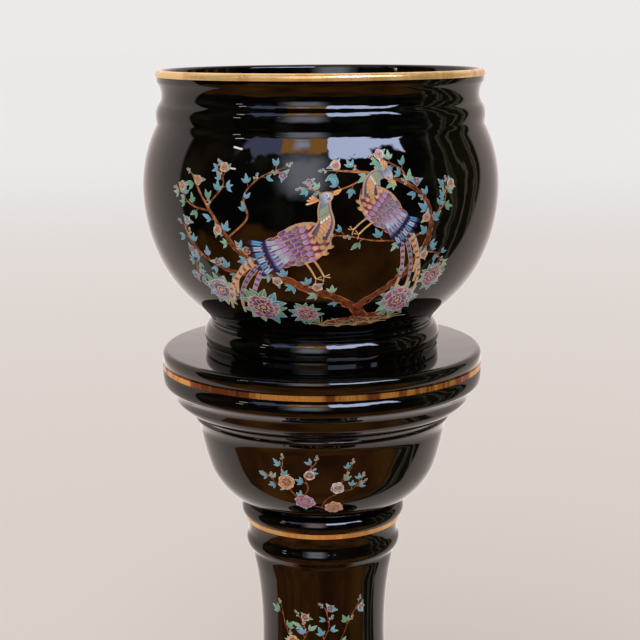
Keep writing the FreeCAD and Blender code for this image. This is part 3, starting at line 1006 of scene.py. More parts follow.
class Picture:
    """An enamel picture: strokes laid on a flat sheet in the painter's order, then wrapped round a wall."""

    THICKNESS = 0.03 * MM
    LAYER = 0.6  # from one stroke to the one over it, as a share of the thickness
    ROOTED = 0.02 * MM  # how far the strokes reach down into the glaze

    def __init__(self, name: str, wall: Wall, seed: int) -> None:
        """Starts an empty picture.

        Args:
            name: what its pieces' names start with.
            wall: what it is painted on.
            seed: sets the small differences between strokes.
        """
        self.name = name
        self.wall = wall
        self.chance = random.Random(seed)
        self.strokes: dict[Paint, list[bpy.types.Object]] = {}
        self.shapes = {outline: shape.make() for outline, shape in SHAPES.items()}
        self.strips: dict[int, bpy.types.Object] = {}

    def vary(self, value: float, share: float = 0.12) -> float:
        """value, more or less by up to that share."""
        return value * (1 + self.chance.uniform(-share, share))

    def keep(self, obj: bpy.types.Object, paint: Paint, tint: Tint) -> None:
        """Gives one stroke its colour and adds it to the others of its paint.

        Args:
            obj: the stroke.
            paint: its enamel.
            tint: its colour, which is made a little lighter or darker.
        """
        light = self.vary(1.0, 0.16)
        colour = [min(part * light, 1.0) for part in tint.value.linear()[:3]] + [1.0]
        attribute = obj.data.attributes.new(TINT, "FLOAT_COLOR", "POINT")
        attribute.data.foreach_set("color", colour * len(obj.data.vertices))
        self.strokes.setdefault(paint, []).append(obj)

    def depth(self, lift: float) -> float:
        """Where a stroke lies that has that many strokes under it."""
        return -lift * self.THICKNESS * self.LAYER

    def put(
        self,
        outline: Outline,
        paint: Paint,
        tint: Tint,
        at: Flat,
        turn: float,
        length: float,
        width: float,
        lift: float,
    ) -> None:
        """Copies one stroke onto the sheet.

        Args:
            outline: its shape.
            paint: its enamel.
            tint: its colour.
            at: where its base is.
            turn: where it points, in radians clockwise from straight up.
            length: in millimetres.
            width: in millimetres.
            lift: how many strokes lie under it.
        """
        shape = self.shapes[outline]
        stroke = bpy.data.objects.new(shape.name, shape.data.copy())
        stroke.data.transform(
            Matrix.Translation((at[0], self.depth(lift), at[1]))
            @ Matrix.Diagonal((self.wall.stretch(at[1]), 1, 1, 1))
            @ Matrix.Rotation(turn, 4, "Y")
            @ Matrix.Diagonal((width * MM, 1, length * MM, 1))
        )
        self.keep(stroke, paint, tint)

    def ribbon(
        self,
        path: Path,
        paint: Paint,
        tint: Tint,
        start: float,
        end: float,
        lift: float,
        rough: float = 0.0,
    ) -> None:
        """Draws one long stroke along a path.

        Args:
            path: its middle line.
            paint: its enamel.
            tint: its colour.
            start: its width at the start, in millimetres.
            end: its width at the end.
            lift: how many strokes lie under it.
            rough: how gnarled its edges are, as a share of its width.
        """
        rows = len(path.points) - 1
        strip = self.strip(rows)
        stroke = bpy.data.objects.new(strip.name, strip.data.copy())
        corners = places(stroke.data)
        across = corners[:, 0] * 2
        row = np.rint((corners[:, 1] + 0.5) * rows).astype(int)
        ahead = np.gradient(path.points, axis=0)
        ahead /= np.linalg.norm(ahead, axis=1)[:, None]
        side = np.column_stack([ahead[:, 1], -ahead[:, 0]])
        share = np.arange(rows + 1) / rows
        widths = (start + (end - start) * share) * MM / 2
        gnarls = np.array([[self.chance.uniform(1 - rough, 1 + rough) for _ in range(2)] for _ in share])
        reach = widths[row] * across * np.where(across < 0, gnarls[row, 0], gnarls[row, 1])
        spots = path.points[row] + side[row] * reach[:, None]
        depths = np.full(len(spots), self.depth(lift))
        move_to(stroke.data, np.column_stack([spots[:, 0], depths, spots[:, 1]]))
        self.keep(stroke, paint, tint)

    def strip(self, rows: int) -> bpy.types.Object:
        """Makes a plain strip once, to be copied.

        Args:
            rows: how many rows of faces it has.

        Returns:
            The strip.
        """
        if rows not in self.strips:
            bpy.ops.object.select_all(action="DESELECT")
            bpy.ops.mesh.primitive_grid_add(x_subdivisions=2, y_subdivisions=rows, size=1.0)
            self.strips[rows] = bpy.context.active_object
            self.strips[rows].name = "strip_" + str(rows)
        return self.strips[rows]

    def finish(self, body: Body) -> None:
        """Joins the strokes of each enamel, gives them their thickness and wraps them round the wall.

        Args:
            body: what the picture rides on.
        """
        for shape in (*self.shapes.values(), *self.strips.values()):
            bpy.data.objects.remove(shape)
        for paint, strokes in self.strokes.items():
            bpy.ops.object.select_all(action="DESELECT")
            for stroke in strokes:
                bpy.context.collection.objects.link(stroke)
                stroke.select_set(True)
            bpy.context.view_layer.objects.active = strokes[0]
            bpy.ops.object.join()
            sheet = bpy.context.view_layer.objects.active
            sheet.name = sheet.data.name = self.name + "_" + paint.name.lower()
            use_modifier(sheet, "SOLIDIFY", thickness=self.THICKNESS, offset=1.0, use_even_offset=False)
            self.root(sheet.data)
            self.wall.wrap(sheet.data)
            sheet.data.materials.clear()
            sheet.data.materials.append(paint.value.material())
            only(sheet)
            bpy.ops.object.shade_smooth_by_angle(angle=math.radians(40))
            show(sheet, body, Slot.GLAZE)

    def root(self, mesh: bpy.types.Mesh) -> None:
        """Brings the underside of every stroke down into the glaze.

        Args:
            mesh: the flat sheet, whose second half of vertices lies over or under its first half.
        """
        layers = places(mesh).reshape(2, -1, 3)
        depths = layers[..., 1]
        layers[..., 1] = np.where(depths == depths.max(axis=0), self.ROOTED, depths)
        move_to(mesh, layers)


# ---------------------------------------------------------------- flowers, leaves and twigs


def way(heading: float) -> Flat:
    """The unit step on the sheet in a heading."""
    return np.array([math.sin(heading), math.cos(heading)])


@dataclass(frozen=True)
class Flower:
    """An open flower: rings of petals, the outer ones under the inner ones, round a heart of stamens."""

    radius: float
    tint: Tint
    inner_tint: Tint
    rings: int = 3
    petals: int = 8
    heart: Tint = Tint.AMBER
    fullness: float = 0.98
    ring_step: float = 0.34
    heart_share: float = 0.26
    stamen_share: float = 0.24

    def paint(self, picture: Picture, at: Flat, lift: float) -> None:
        """Paints it.

        Args:
            picture: where it is painted.
            at: its middle on the sheet.
            lift: how many strokes lie under it.
        """
        turn = picture.chance.uniform(0, math.tau)
        for ring in range(self.rings):
            reach = self.radius * (1 - self.ring_step * ring)
            count = self.petals - 2 * ring
            for i in range(count):
                heading = turn + ring * 0.45 + math.tau * i / count + picture.chance.uniform(-0.09, 0.09)
                length = picture.vary(reach)
                width = picture.vary(2.0 * reach * math.sin(math.pi / count) * self.fullness)
                above = lift + ring * 2 + (i % 2) * 0.8
                tint = self.inner_tint if (i + ring) % 3 == 0 else self.tint
                picture.put(Outline.PETAL, Paint.PETAL, tint, at, heading, length, width, above)
        top = lift + self.rings * 2
        size = self.radius * self.heart_share
        centre = at - np.array([0, size * MM / 2])
        picture.put(Outline.ROUND, Paint.DOT, self.heart, centre, 0.0, size, size, top)
        stamens = 4 + 2 * self.rings
        away = self.radius * MM * self.stamen_share
        size = max(self.radius * 0.08, 0.5)
        for i in range(stamens):
            heading = math.tau * i / stamens
            dot = at + away * way(heading) * (picture.wall.stretch(at[1]), 1)
            picture.put(Outline.ROUND, Paint.DOT, Tint.CREAM, dot, heading, size, size, top + 1)


@dataclass(frozen=True)
class Bud:
    """A closed flower with two sepals."""

    length: float
    tint: Tint

    def paint(self, picture: Picture, at: Flat, heading: float, lift: float) -> None:
        """Paints it at the end of a twig.

        Args:
            picture: where it is painted.
            at: its base on the sheet.
            heading: where the twig heads.
            lift: how many strokes lie under it.
        """
        picture.put(Outline.EGG, Paint.PETAL, self.tint, at, heading, self.length, self.length * 0.72, lift)
        for side in (-0.5, 0.5):
            size = self.length * 0.6
            picture.put(Outline.LEAF, Paint.LEAF, Tint.SAGE, at, heading + side, size, size * 0.4, lift + 1)


SMALL_BLOOMS = (
    Flower(4.6, Tint.PEACH, Tint.CREAM, 2, 5, Tint.RUSSET, 0.9),
    Flower(3.6, Tint.LILAC, Tint.MAUVE, 1, 5, Tint.AMBER, 0.8),
    Flower(3.4, Tint.CREAM, Tint.SKY, 1, 5, Tint.CORAL, 0.8),
    Flower(4.4, Tint.AMBER, Tint.PEACH, 2, 5, Tint.RUSSET, 0.9),
    Flower(3.8, Tint.CORAL, Tint.PEACH, 1, 5, Tint.AMBER, 0.85),
)
BUD_TINTS = (Tint.CREAM, Tint.SKY, Tint.PEACH, Tint.LILAC)
LEAF_TINTS = (Tint.TEAL, Tint.BLUE, Tint.TEAL, Tint.GREEN, Tint.TEAL, Tint.SAGE)


@dataclass
class Bough:
    """A branch or twig with leaves, small flowers and buds along it.

    start and end are its widths in millimetres, and from_share is the share of it that is bare.
    """

    spots: Sequence[Spot]
    start: float
    end: float
    leaves: int = 0
    blooms: int = 0
    leaf_length: float = 9.0
    from_share: float = 0.2
    tint: Tint = Tint.RUSSET
    buds: int = 2
    thick: float = 2.5
    gnarled: float = 0.32
    uneven: float = 0.12

    def paint(self, picture: Picture, lift: float) -> Path:
        """Paints it and what grows on it.

        Args:
            picture: where it is painted.
            lift: how many strokes lie under it.

        Returns:
            Its middle line.
        """
        path = Path([picture.wall.flat(spot) for spot in self.spots])
        rough = self.gnarled if self.start > self.thick else self.uneven
        picture.ribbon(path, Paint.BARK, self.tint, self.start, self.end, lift, rough)
        for i in range(self.leaves):
            share = self.from_share + (1 - self.from_share) * (i + 0.5) / self.leaves
            self.trio(picture, path, share, 1 if i % 2 else -1, lift + 1)
        for i in range(self.blooms):
            share = self.from_share + (1 - self.from_share) * (i + 0.9) / self.blooms
            self.bloom(picture, path, min(share, 0.97), -1 if i % 2 else 1, lift + 4)
        for i in range(self.buds):
            share = 1 - 0.5 * i / self.buds
            self.sprig(picture, path, share, 1 if i % 2 else -1, lift + 3)
        return path

    def sprig(self, picture: Picture, path: Path, share: float, side: int, lift: float) -> None:
        """A hair-thin stalk that ends in a bud, with a smaller bud on either side.

        Args:
            picture: where it is painted.
            path: the branch's middle line.
            share: how far along the branch it grows.
            side: 1 for the right of the branch and -1 for its left.
            lift: how many strokes lie under it.
        """
        start, heading = path.at(share)
        out = heading + side * picture.chance.uniform(0.1, 0.7)
        stalk = way(out) * picture.vary(6.0, 0.3) * MM
        line = Path([start, start + stalk / 2, start + stalk])
        picture.ribbon(line, Paint.BARK, Tint.TAN, 0.6, 0.35, lift)
        for lean, along, size in ((0.0, 1.0, 3.4), (-0.9, 0.55, 2.6), (0.9, 0.75, 2.6)):
            tint = picture.chance.choice(BUD_TINTS)
            Bud(size, tint).paint(picture, start + stalk * along, out + lean, lift + 1)

    def trio(self, picture: Picture, path: Path, share: float, side: int, lift: float) -> None:
        """A short stalk with two or three leaves on one side of the branch.

        Args:
            picture: where it is painted.
            path: the branch's middle line.
            share: how far along the branch it grows.
            side: 1 for the right of the branch and -1 for its left.
            lift: how many strokes lie under it.
        """
        start, heading = path.at(share)
        tint = picture.chance.choice(LEAF_TINTS)
        out = heading + side * picture.chance.uniform(0.7, 1.1)
        stalk = way(out) * picture.vary(self.leaf_length * 0.45, 0.3) * MM
        end = start + stalk
        bend = start + stalk / 2 + np.array([0, 0.4 * MM])
        picture.ribbon(Path([start, bend, end]), Paint.BARK, Tint.TAN, 0.7, 0.45, lift - 0.5)
        for lean in (-0.75, 0.1, 0.85)[: picture.chance.choice((2, 3, 3))]:
            length = picture.vary(self.leaf_length, 0.2) * (1.0 if abs(lean) < 0.5 else 0.78)
            heading = out + lean + picture.chance.uniform(-0.12, 0.12)
            picture.put(Outline.LEAF, Paint.LEAF, tint, end, heading, length, length * 0.4, lift + abs(lean))

    def bloom(self, picture: Picture, path: Path, share: float, side: int, lift: float) -> None:
        """A small flower on a short stalk, with a leaf on either side.

        Args:
            picture: where it is painted.
            path: the branch's middle line.
            share: how far along the branch it grows.
            side: 1 for the right of the branch and -1 for its left.
            lift: how many strokes lie under it.
        """
        start, heading = path.at(share)
        out = heading + side * 0.9
        end = start + way(out) * picture.vary(6.0, 0.3) * MM
        picture.ribbon(Path([start, (start + end) / 2, end]), Paint.BARK, Tint.TAN, 0.8, 0.5, lift - 2)
        for lean in (-1.3, 1.2):
            tint = picture.chance.choice(LEAF_TINTS)
            length = picture.vary(self.leaf_length * 0.85)
            picture.put(Outline.LEAF, Paint.LEAF, tint, end, out + lean, length, length * 0.42, lift - 1)
        picture.chance.choice(SMALL_BLOOMS).paint(picture, end, lift)


def peony(picture: Picture, spot: Spot, radius: float, tint: Tint, inner: Tint, lift: float) -> None:
    """A full flower on a bed of its own broad leaves.

    Args:
        picture: where it is painted.
        spot: its middle on the wall.
        radius: in millimetres.
        tint: the colour of most petals.
        inner: the colour of every third petal.
        lift: how many strokes lie under it.
    """
    at = picture.wall.flat(spot)
    pairs = 7
    for i in range(pairs):
        heading = math.tau * i / pairs + picture.chance.uniform(-0.25, 0.25)
        away = way(heading) * radius * 0.55 * MM
        green = picture.chance.choice((Tint.TEAL, Tint.GREEN, Tint.GREEN, Tint.SAGE))
        for lean in (-0.5, 0.45):
            length = picture.vary(radius * 0.95)
            turn, above = heading + lean, lift - 2 + (i % 2) + lean
            picture.put(Outline.LEAF, Paint.LEAF, green, at + away, turn, length, length * 0.46, above)
    Flower(radius, tint, inner, 3, 7, Tint.AMBER, 1.12).paint(picture, at, lift)


def grasses(picture: Picture, spots: Sequence[Spot], lift: float) -> None:
    """Tufts of dry grass that lean both ways.

    Args:
        picture: where they are painted.
        spots: where on the wall they stand.
        lift: how many strokes lie under them.
    """
    for spot in spots:
        root = picture.wall.flat(spot)
        for i in range(7):
            lean = -1.2 + 0.4 * i + picture.chance.uniform(-0.12, 0.12)
            length = picture.vary(17.0, 0.35) * MM
            rise = np.array([math.sin(lean), max(math.cos(lean), 0.2)])
            droop = np.array([math.sin(lean) * 0.3, -0.18])
            path = Path([root, root + rise * length * 0.5, root + (rise + droop) * length])
            picture.ribbon(path, Paint.DOT, Tint.STRAW, 0.9, 0.25, lift)


@dataclass(frozen=True)
class Spray:
    """Twigs that part from one stem, with larger flowers at chosen places."""

    name: str
    seed: int
    low: float
    high: float
    stem: Bough
    twigs: tuple[Bough, ...]
    flowers: tuple[tuple[Spot, Flower], ...]

    def paint(self, wall: Wall, body: Body) -> None:
        """Paints the spray.

        Args:
            wall: what it is painted on.
            body: what that wall rides on.
        """
        sheet = Picture(self.name, wall, self.seed)
        self.stem.paint(sheet, 1)
        for twig in self.twigs:
            twig.paint(sheet, 2)
        for spot, flower in self.flowers:
            flower.paint(sheet, wall.flat(spot), 5)
        sheet.finish(body)


BOWL_SPRAY = Spray(
    name="bowl",
    seed=21,
    low=0.3990,
    high=0.4740,
    stem=Bough(
        [(11, 407), (4, 409), (-4, 413), (-11, 420), (-16, 432), (-19, 445), (-18, 457)],
        2.0, 0.8, 5, 0, 7.6, 0.3,
    ),
    twigs=tuple(
        Bough(spots, 1.4, 0.6, 3, 0, 7.2, 0.35)
        for spots in (
            [(-1, 411), (2, 421), (8, 429), (9, 442), (13, 453)],
            [(-11, 420), (-7, 432), (-8, 446), (-3, 458)],
            [(8, 429), (14, 431), (18, 439)],
            [(-16, 432), (-22, 436), (-26, 444)],
        )
    ),
    flowers=(
        ((6, 411), Flower(8.6, Tint.PEACH, Tint.AMBER, 3, 8, Tint.RUSSET)),
        ((-9, 418), Flower(9.4, Tint.ROSE, Tint.LILAC, 3, 8)),
        ((-17, 438), Flower(8.2, Tint.AMBER, Tint.AMBER, 2, 6, Tint.CORAL)),
        ((7, 433), Flower(6.2, Tint.CREAM, Tint.LILAC, 2, 6)),
        ((-6, 446), Flower(5.0, Tint.CREAM, Tint.PEACH, 1, 5)),
    ),
)
COLUMN_SPRAY = Spray(
    name="column",
    seed=34,
    low=0.1450,
    high=0.3330,
    stem=Bough(
        [(10, 172), (4, 194), (-8, 212), (-20, 234), (-26, 256), (-36, 274), (-40, 296)],
        2.2, 0.7, 7, 0, 9.0, 0.15,
    ),
    twigs=tuple(
        Bough(spots, 1.4, 0.6, 4, 1, 8.5, 0.3)
        for spots in (
            [(-8, 212), (2, 228), (4, 248), (16, 266), (24, 286), (32, 300)],
            [(4, 248), (0, 264), (5, 280), (2, 298)],
            [(-26, 256), (-16, 270), (-20, 286)],
            [(4, 194), (20, 204), (32, 220), (36, 238)],
        )
    ),
    flowers=(
        ((7, 184), Flower(9.4, Tint.AMBER, Tint.PEACH, 3, 8, Tint.RUSSET)),
        ((-14, 220), Flower(9.4, Tint.ROSE, Tint.LILAC, 3, 8)),
        ((25, 210), Flower(6.6, Tint.CREAM, Tint.CREAM, 2, 7)),
        ((-29, 262), Flower(7.0, Tint.AMBER, Tint.PEACH, 2, 6, Tint.CORAL)),
    ),
)


# ---------------------------------------------------------------- the birds


class Facing(Enum):
    """Which way a bird's breast points."""

    LEFT = -1
    RIGHT = 1


@dataclass
class LongTail:
    """A crested bird with a scaled body, pale quills and a long barred tail."""

    picture: Picture
    centre: Spot
    facing: Facing
    lean: float = 0.35
    size: float = 1.0
    looks_back: bool = False
    scale_tint: Tint = Tint.PURPLE
    lift: float = 12.0

    def flat(self, forward: float, up: float) -> Flat:
        """Finds a place on the sheet.

        Args:
            forward: millimetres forward from the middle of the body.
            up: millimetres up from there.

        Returns:
            The place.
        """
        wall = self.picture.wall
        middle = wall.flat(self.centre)
        ahead = forward * math.cos(self.lean) - up * math.sin(self.lean)
        above = forward * math.sin(self.lean) + up * math.cos(self.lean)
        across = ahead * self.facing.value * wall.stretch(middle[1])
        return middle + np.array([across, above]) * self.size * MM

    def heading(self, angle: float) -> float:
        """A direction, given anticlockwise from straight ahead of the bird, as the sheet's heading."""
        return self.facing.value * (math.pi / 2 - self.lean - angle)

    def stroke(
        self,
        outline: Outline,
        paint: Paint,
        tint: Tint,
        spot: tuple[float, float],
        angle: float,
        length: float,
        width: float,
        above: float,
    ) -> None:
        """One stroke in the bird's own frame.

        Args:
            outline: its shape.
            paint: its enamel.
            tint: its colour.
            spot: its base, in millimetres forward and up from the middle of the body.
            angle: where it points, in radians anticlockwise from straight ahead.
            length: in millimetres on a bird of size 1.
            width: the same.
            above: how many of the bird's own strokes lie under it.
        """
        at, heading, size = self.flat(*spot), self.heading(angle), self.size
        above += self.lift
        self.picture.put(outline, paint, tint, at, heading, length * size, width * size, above)

    def line(
        self,
        paint: Paint,
        tint: Tint,
        spots: Sequence[tuple[float, float]],
        start: float,
        end: float,
        above: float,
    ) -> None:
        """One ribbon in the bird's own frame.

        Args:
            paint: its enamel.
            tint: its colour.
            spots: its middle line, in millimetres forward and up from the middle of the body.
            start: its width at the start, in millimetres on a bird of size 1.
            end: its width at the end.
            above: how many of the bird's own strokes lie under it.
        """
        path = Path([self.flat(*spot) for spot in spots])
        self.picture.ribbon(path, paint, tint, start * self.size, end * self.size, self.lift + above)

    def paint(self) -> None:
        """Paints the bird from its tail to its beak."""
        self.tail()
        self.legs()
        self.body()
        self.wing()
        self.neck()
        self.head()

    def tail(self) -> None:
        """Five long feathers that part as they fall, with short ones over their roots."""
        for i, spread in enumerate((-8.0, 7.5, -4.0, 4.0, 0.0)):
            tint = (Tint.LILAC, Tint.SKY, Tint.MAUVE, Tint.SKY, Tint.PEACH)[i]
            reach = 1.0 - abs(spread) * 0.03
            spots = [
                (-15.0, -2.0 + spread * 0.2),
                (-28.0 * reach, -2.0 + spread * 0.45),
                (-42.0 * reach, -7.0 + spread * 0.8),
                (-56.0 * reach, -16.0 + spread * 1.1),
                (-66.0 * reach, -28.0 + spread * 1.3),
            ]
            self.line(Paint.TAIL, tint, spots, 4.2, 1.8, -6 + i * 0.8)
        for i in range(6):
            angle = math.pi + 0.42 - 0.16 * i
            spot = (-12.0, -4.5 + i * 1.8)
            tint = Tint.BLUE if i % 2 else Tint.SKY
            self.stroke(Outline.QUILL, Paint.QUILL, tint, spot, angle, 17.0, 4.0, -1 + i * 0.3)

    def legs(self) -> None:
        """Two thin legs with spread toes."""
        for forward in (1.0, 6.0):
            foot = (forward + 2.5, -22.0)
            leg = [(forward, -10.0), (forward + 1.6, -16.0), foot]
            self.line(Paint.DOT, Tint.AMBER, leg, 1.1, 0.8, -2)
            for toe in (-2.6, -0.6, 0.2):
                angle = -math.pi / 2 + 1.6 + toe * 0.8
                self.stroke(Outline.QUILL, Paint.DOT, Tint.AMBER, foot, angle, 3.6, 0.7, -1.5)

    def body(self) -> None:
        """An egg-shaped body under rows of scales, each row over the one behind it."""
        spot = (21.0, 2.5)
        self.stroke(Outline.EGG, Paint.PLUME, Tint.PLUM, spot, math.pi + 0.08, 42.0, 24.0, 0)
        rows = 10
        for row in range(rows):
            share = row / (rows - 1)
            forward = -16.0 + 34.0 * share
            half = 11.4 * math.sqrt(max(1 - ((forward - 2.0) / 21.0) ** 2, 0.06))
            count = max(int(half / 2.1), 2)
            rump = (self.scale_tint, Tint.PLUM, self.scale_tint)
            breast = (Tint.MAUVE, Tint.LILAC, Tint.PEACH, Tint.STRAW)
            tint = (rump + breast)[min(int(share * 7), 6)]
            for i in range(count + 1):
                off = -half + 2 * half * i / count + (0.8 if row % 2 else -0.8)
                angle = math.pi + 0.08 + off * 0.03
                spot = (forward + 1.5, off * 0.9 + 0.5)
                above = 1.5 + row * 0.7 + (i % 2) * 0.3
                long = 7.2 - 3.2 * share
                self.stroke(Outline.SCALE, Paint.PLUME, tint, spot, angle, long, long * 0.76, above)

    def wing(self) -> None:
        """Folded pale quills with two rows of scales over their roots."""
        for i in range(8):
            angle = math.pi + 0.42 - 0.075 * i
            spot = (4.0 - i * 0.9, 0.0 + i * 0.75)
            tint = Tint.SKY if i % 2 else Tint.LILAC
            length = 27.0 - i * 1.3
            self.stroke(Outline.QUILL, Paint.QUILL, tint, spot, angle, length, 4.2, 10 + i * 0.7)
        for row in range(4):
            for i in range(5):
                spot = (-5.0 + row * 3.2 - i * 0.9, -4.0 + i * 2.5 + row * 0.3)
                above = 16 + row * 1.6 + (i % 2) * 0.5
                tint = (Tint.SKY, Tint.LILAC, self.scale_tint, self.scale_tint)[row]
                angle = math.pi + 0.42 - 0.12 * i
                length = 7.4 - row * 0.8
                self.stroke(Outline.SCALE, Paint.PLUME, tint, spot, angle, length, 3.6, above)

    @property
    def neck_line(self) -> list[tuple[float, float]]:
        """The middle of the neck. A bird that looks back turns it over its shoulder."""
        if self.looks_back:
            return [(13.0, 3.0), (18.0, 10.0), (17.5, 17.0), (11.5, 21.5)]
        return [(13.0, 2.0), (19.0, 8.5), (20.5, 16.0), (23.0, 22.0)]

    def neck(self) -> None:
        """A tapering neck under small scales, from straw at the breast to teal at the head."""
        self.line(Paint.PLUME, Tint.MAUVE, self.neck_line, 11.0, 5.2, 14)
        middle = Path([np.array(spot) for spot in self.neck_line])
        throat = (Tint.STRAW, Tint.PEACH, Tint.PEACH, Tint.CREAM, Tint.SAGE, Tint.SAGE, Tint.TEAL)
        for i in range(11):
            share = 0.04 + i * 0.085
            place = middle.at(share)[0]
            tint = throat[min(i * 2 // 3, 6)]
            reach = 3.3 * (1 - share * 0.55)
            for j in range(4):
                off = reach * (j - 1.5) / 1.5
                spot = (place[0] + off, place[1] + 0.8 + off * 0.35)
                above = 15 + i * 0.5 + (j % 2) * 0.25
                size = 3.4 - share * 1.2
                angle = -math.pi / 2 - 0.35
                self.stroke(Outline.SCALE, Paint.PLUME, tint, spot, angle, size, size * 0.72, above)

    def head(self) -> None:
        """Crest, beak, head, cheek and eye at the end of the neck."""
        ahead = math.pi + 0.35 if self.looks_back else 0.1
        side = 1 if self.looks_back else -1
        forward, up = self.neck_line[-1]
        back = (forward - math.cos(ahead) * 3.6, up - math.sin(ahead) * 3.6)
        front = (forward + math.cos(ahead) * 4.0, up + math.sin(ahead) * 4.0)
        for i in range(4):
            angle = ahead + math.pi + side * (0.1 + 0.28 * i)
            tint = Tint.CORAL if i % 2 else Tint.AMBER
            self.stroke(Outline.QUILL, Paint.DOT, tint, back, angle, 8.0 - i, 1.3, 19 + i * 0.3)
        self.stroke(Outline.LEAF, Paint.DOT, Tint.AMBER, front, ahead - side * 0.12, 6.0, 2.3, 20)
        self.stroke(Outline.EGG, Paint.PLUME, Tint.SKY, back, ahead, 8.6, 6.4, 21)
        cheek = (forward + math.cos(ahead) * 0.4, up + math.sin(ahead) * 0.4 - 1.2)
        self.stroke(Outline.ROUND, Paint.DOT, Tint.CORAL, cheek, ahead, 2.8, 2.2, 22.5)
        eye = (forward + math.cos(ahead) * 0.6, up + 0.9)
        self.stroke(Outline.ROUND, Paint.DOT, Tint.CREAM, eye, ahead, 1.7, 1.7, 23.5)
        self.stroke(Outline.ROUND, Paint.DOT, Tint.INK, eye, ahead, 1.1, 1.0, 24.5)


# ---------------------------------------------------------------- the pieces


@dataclass
class Jardiniere:
    """The round-bellied pot with its gilded rim and the large picture on its front."""

    steps: int = 288
    picture_low: float = 0.5790
    picture_high: float = 0.7500
    seed: int = 7

    def build(self) -> None:
        """Turns the pot and its gold, and paints it."""
        section = Section("jardiniere_pot")
        wall = Wall(section, self.picture_low, self.picture_high)
        pot = section.turn("pot_shell", self.steps)
        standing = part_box("jardiniere_pot")[0].z + 0.1 * MM
        glaze(pot, lambda face: face.normal.z < -0.9 and face.center.z < standing)
        show(pot, Body.POT, Slot.GLAZE, "jardiniere_pot")
        gild("rim_gilding", "rim_gold", Gold.RIM, Body.POT, self.steps)
        self.picture(wall)

    def picture(self, wall: Wall) -> None:
        """Two long-tailed birds on a flowering bough that grows from the right and arches both ways.

        Args:
            wall: the pot's painted wall.
        """
        sheet = Picture("pot", wall, self.seed)
        self.ground(sheet)
        self.boughs(sheet)
        self.peonies(sheet)
        LongTail(sheet, (-7.0, 658.5), Facing.RIGHT, 0.3, 1.5).paint()
        LongTail(sheet, (18.0, 688.0), Facing.LEFT, 0.66, 1.25, True, Tint.MAUVE, 13.0).paint()
        sheet.finish(Body.POT)

    def ground(self, sheet: Picture) -> None:
        """A russet bank with dry grass.

        Args:
            sheet: the picture.
        """
        for spot, turn, length in (
            ((2.0, 586.0), 1.35, 30.0),
            ((12.0, 584.5), 1.5, 28.0),
            ((30.0, 589.0), -1.3, 30.0),
            ((10.0, 591.0), 1.7, 22.0),
        ):
            at = sheet.wall.flat(spot)
            sheet.put(Outline.EGG, Paint.BARK, Tint.RUSSET, at, turn, length, 9.0, 1)
        grasses(sheet, ((0.0, 583.0), (7.0, 581.5), (14.0, 582.0), (21.0, 583.5), (28.0, 587.0)), 6)

    def boughs(self, sheet: Picture) -> None:
        """The trunk, its two great boughs and the twigs.

        Args:
            sheet: the picture.
        """
        trunk = [(17, 588), (12, 602), (3, 614), (-7, 624), (-17, 636), (-26, 653), (-32, 676), (-42, 716)]
        arch = [(12, 602), (21, 618), (29, 638), (34, 662), (33, 690), (26, 709), (15, 719), (3, 722)]
        low = [(-17, 636), (-27, 633), (-36, 640), (-43, 654), (-46, 672)]
        Bough(trunk, 12.0, 1.4, 15, 5, buds=5).paint(sheet, 3)
        Bough(arch, 8.0, 1.2, 15, 5, buds=5).paint(sheet, 4)
        Bough(low, 4.5, 1.1, 8, 3, buds=3).paint(sheet, 4)
        for spots in (
            [(-29, 664), (-22, 682), (-23, 700), (-18, 716), (-11, 724)],
            [(-34, 686), (-42, 690), (-47, 702)],
            [(-35, 692), (-30, 708), (-31, 722)],
            [(15, 719), (8, 709), (1, 704), (-4, 708)],
            [(34, 680), (39, 690), (40, 706)],
            [(26, 709), (24, 722), (17, 731)],
            [(30, 650), (38, 648), (42, 636)],
            [(33, 668), (25, 663), (16, 663), (7, 668), (2, 667)],
            [(-40, 648), (-44, 638), (-45, 626)],
        ):
            Bough(spots, 1.7, 0.6, 5, 1, 8.0, 0.2, Tint.TAN, 3).paint(sheet, 5)

    def peonies(self, sheet: Picture) -> None:
        """The full flowers low on both sides.

        Args:
            sheet: the picture.
        """
        peony(sheet, (-37.0, 615.0), 13.0, Tint.MAUVE, Tint.LILAC, 9)
        peony(sheet, (-22.0, 601.0), 16.5, Tint.PLUM, Tint.ROSE, 11)
        peony(sheet, (-6.0, 596.0), 11.0, Tint.ROSE, Tint.PLUM, 10)
        peony(sheet, (39.0, 626.0), 10.0, Tint.PLUM, Tint.ROSE, 9)
        peony(sheet, (28.0, 606.0), 15.0, Tint.ROSE, Tint.LILAC, 10)


@dataclass
class Pedestal:
    """The turned stand with its four gold lines and two sprays of blossom."""

    steps: int = 288
    clay: float = 0.0070
    sprays: tuple[Spray, ...] = (BOWL_SPRAY, COLUMN_SPRAY)

    def build(self) -> None:
        """Turns the stand and its gold, and paints it."""
        section = Section("pedestal_stand")
        walls = [Wall(section, spray.low, spray.high) for spray in self.sprays]
        levels = np.linspace(0, CAD_BOX[1][2], 1600)
        outside = section.radii(levels)

        def bare(face: bpy.types.MeshPolygon) -> bool:
            """Whether a face is inside the stand or under its foot."""
            radius = math.hypot(face.center.x, face.center.y)
            within = radius < np.interp(face.center.z, levels, outside) - self.clay / 2
            return face.normal.z < 0.5 and (within or face.center.z < 0.1 * MM)

        stand = section.turn("stand_shell", self.steps)
        glaze(stand, bare)
        show(stand, Body.STAND, Slot.GLAZE, "pedestal_stand")
        golds = {"table": Gold.TABLE, "neck": Gold.NECK, "ankle": Gold.NECK, "plinth": Gold.TABLE}
        for place, gold in golds.items():
            gild(place + "_gilt_line", place + "_gold", gold, Body.STAND, self.steps)
        for spray, wall in zip(self.sprays, walls, strict=True):
            spray.paint(wall, Body.STAND)


# ---------------------------------------------------------------- the studio


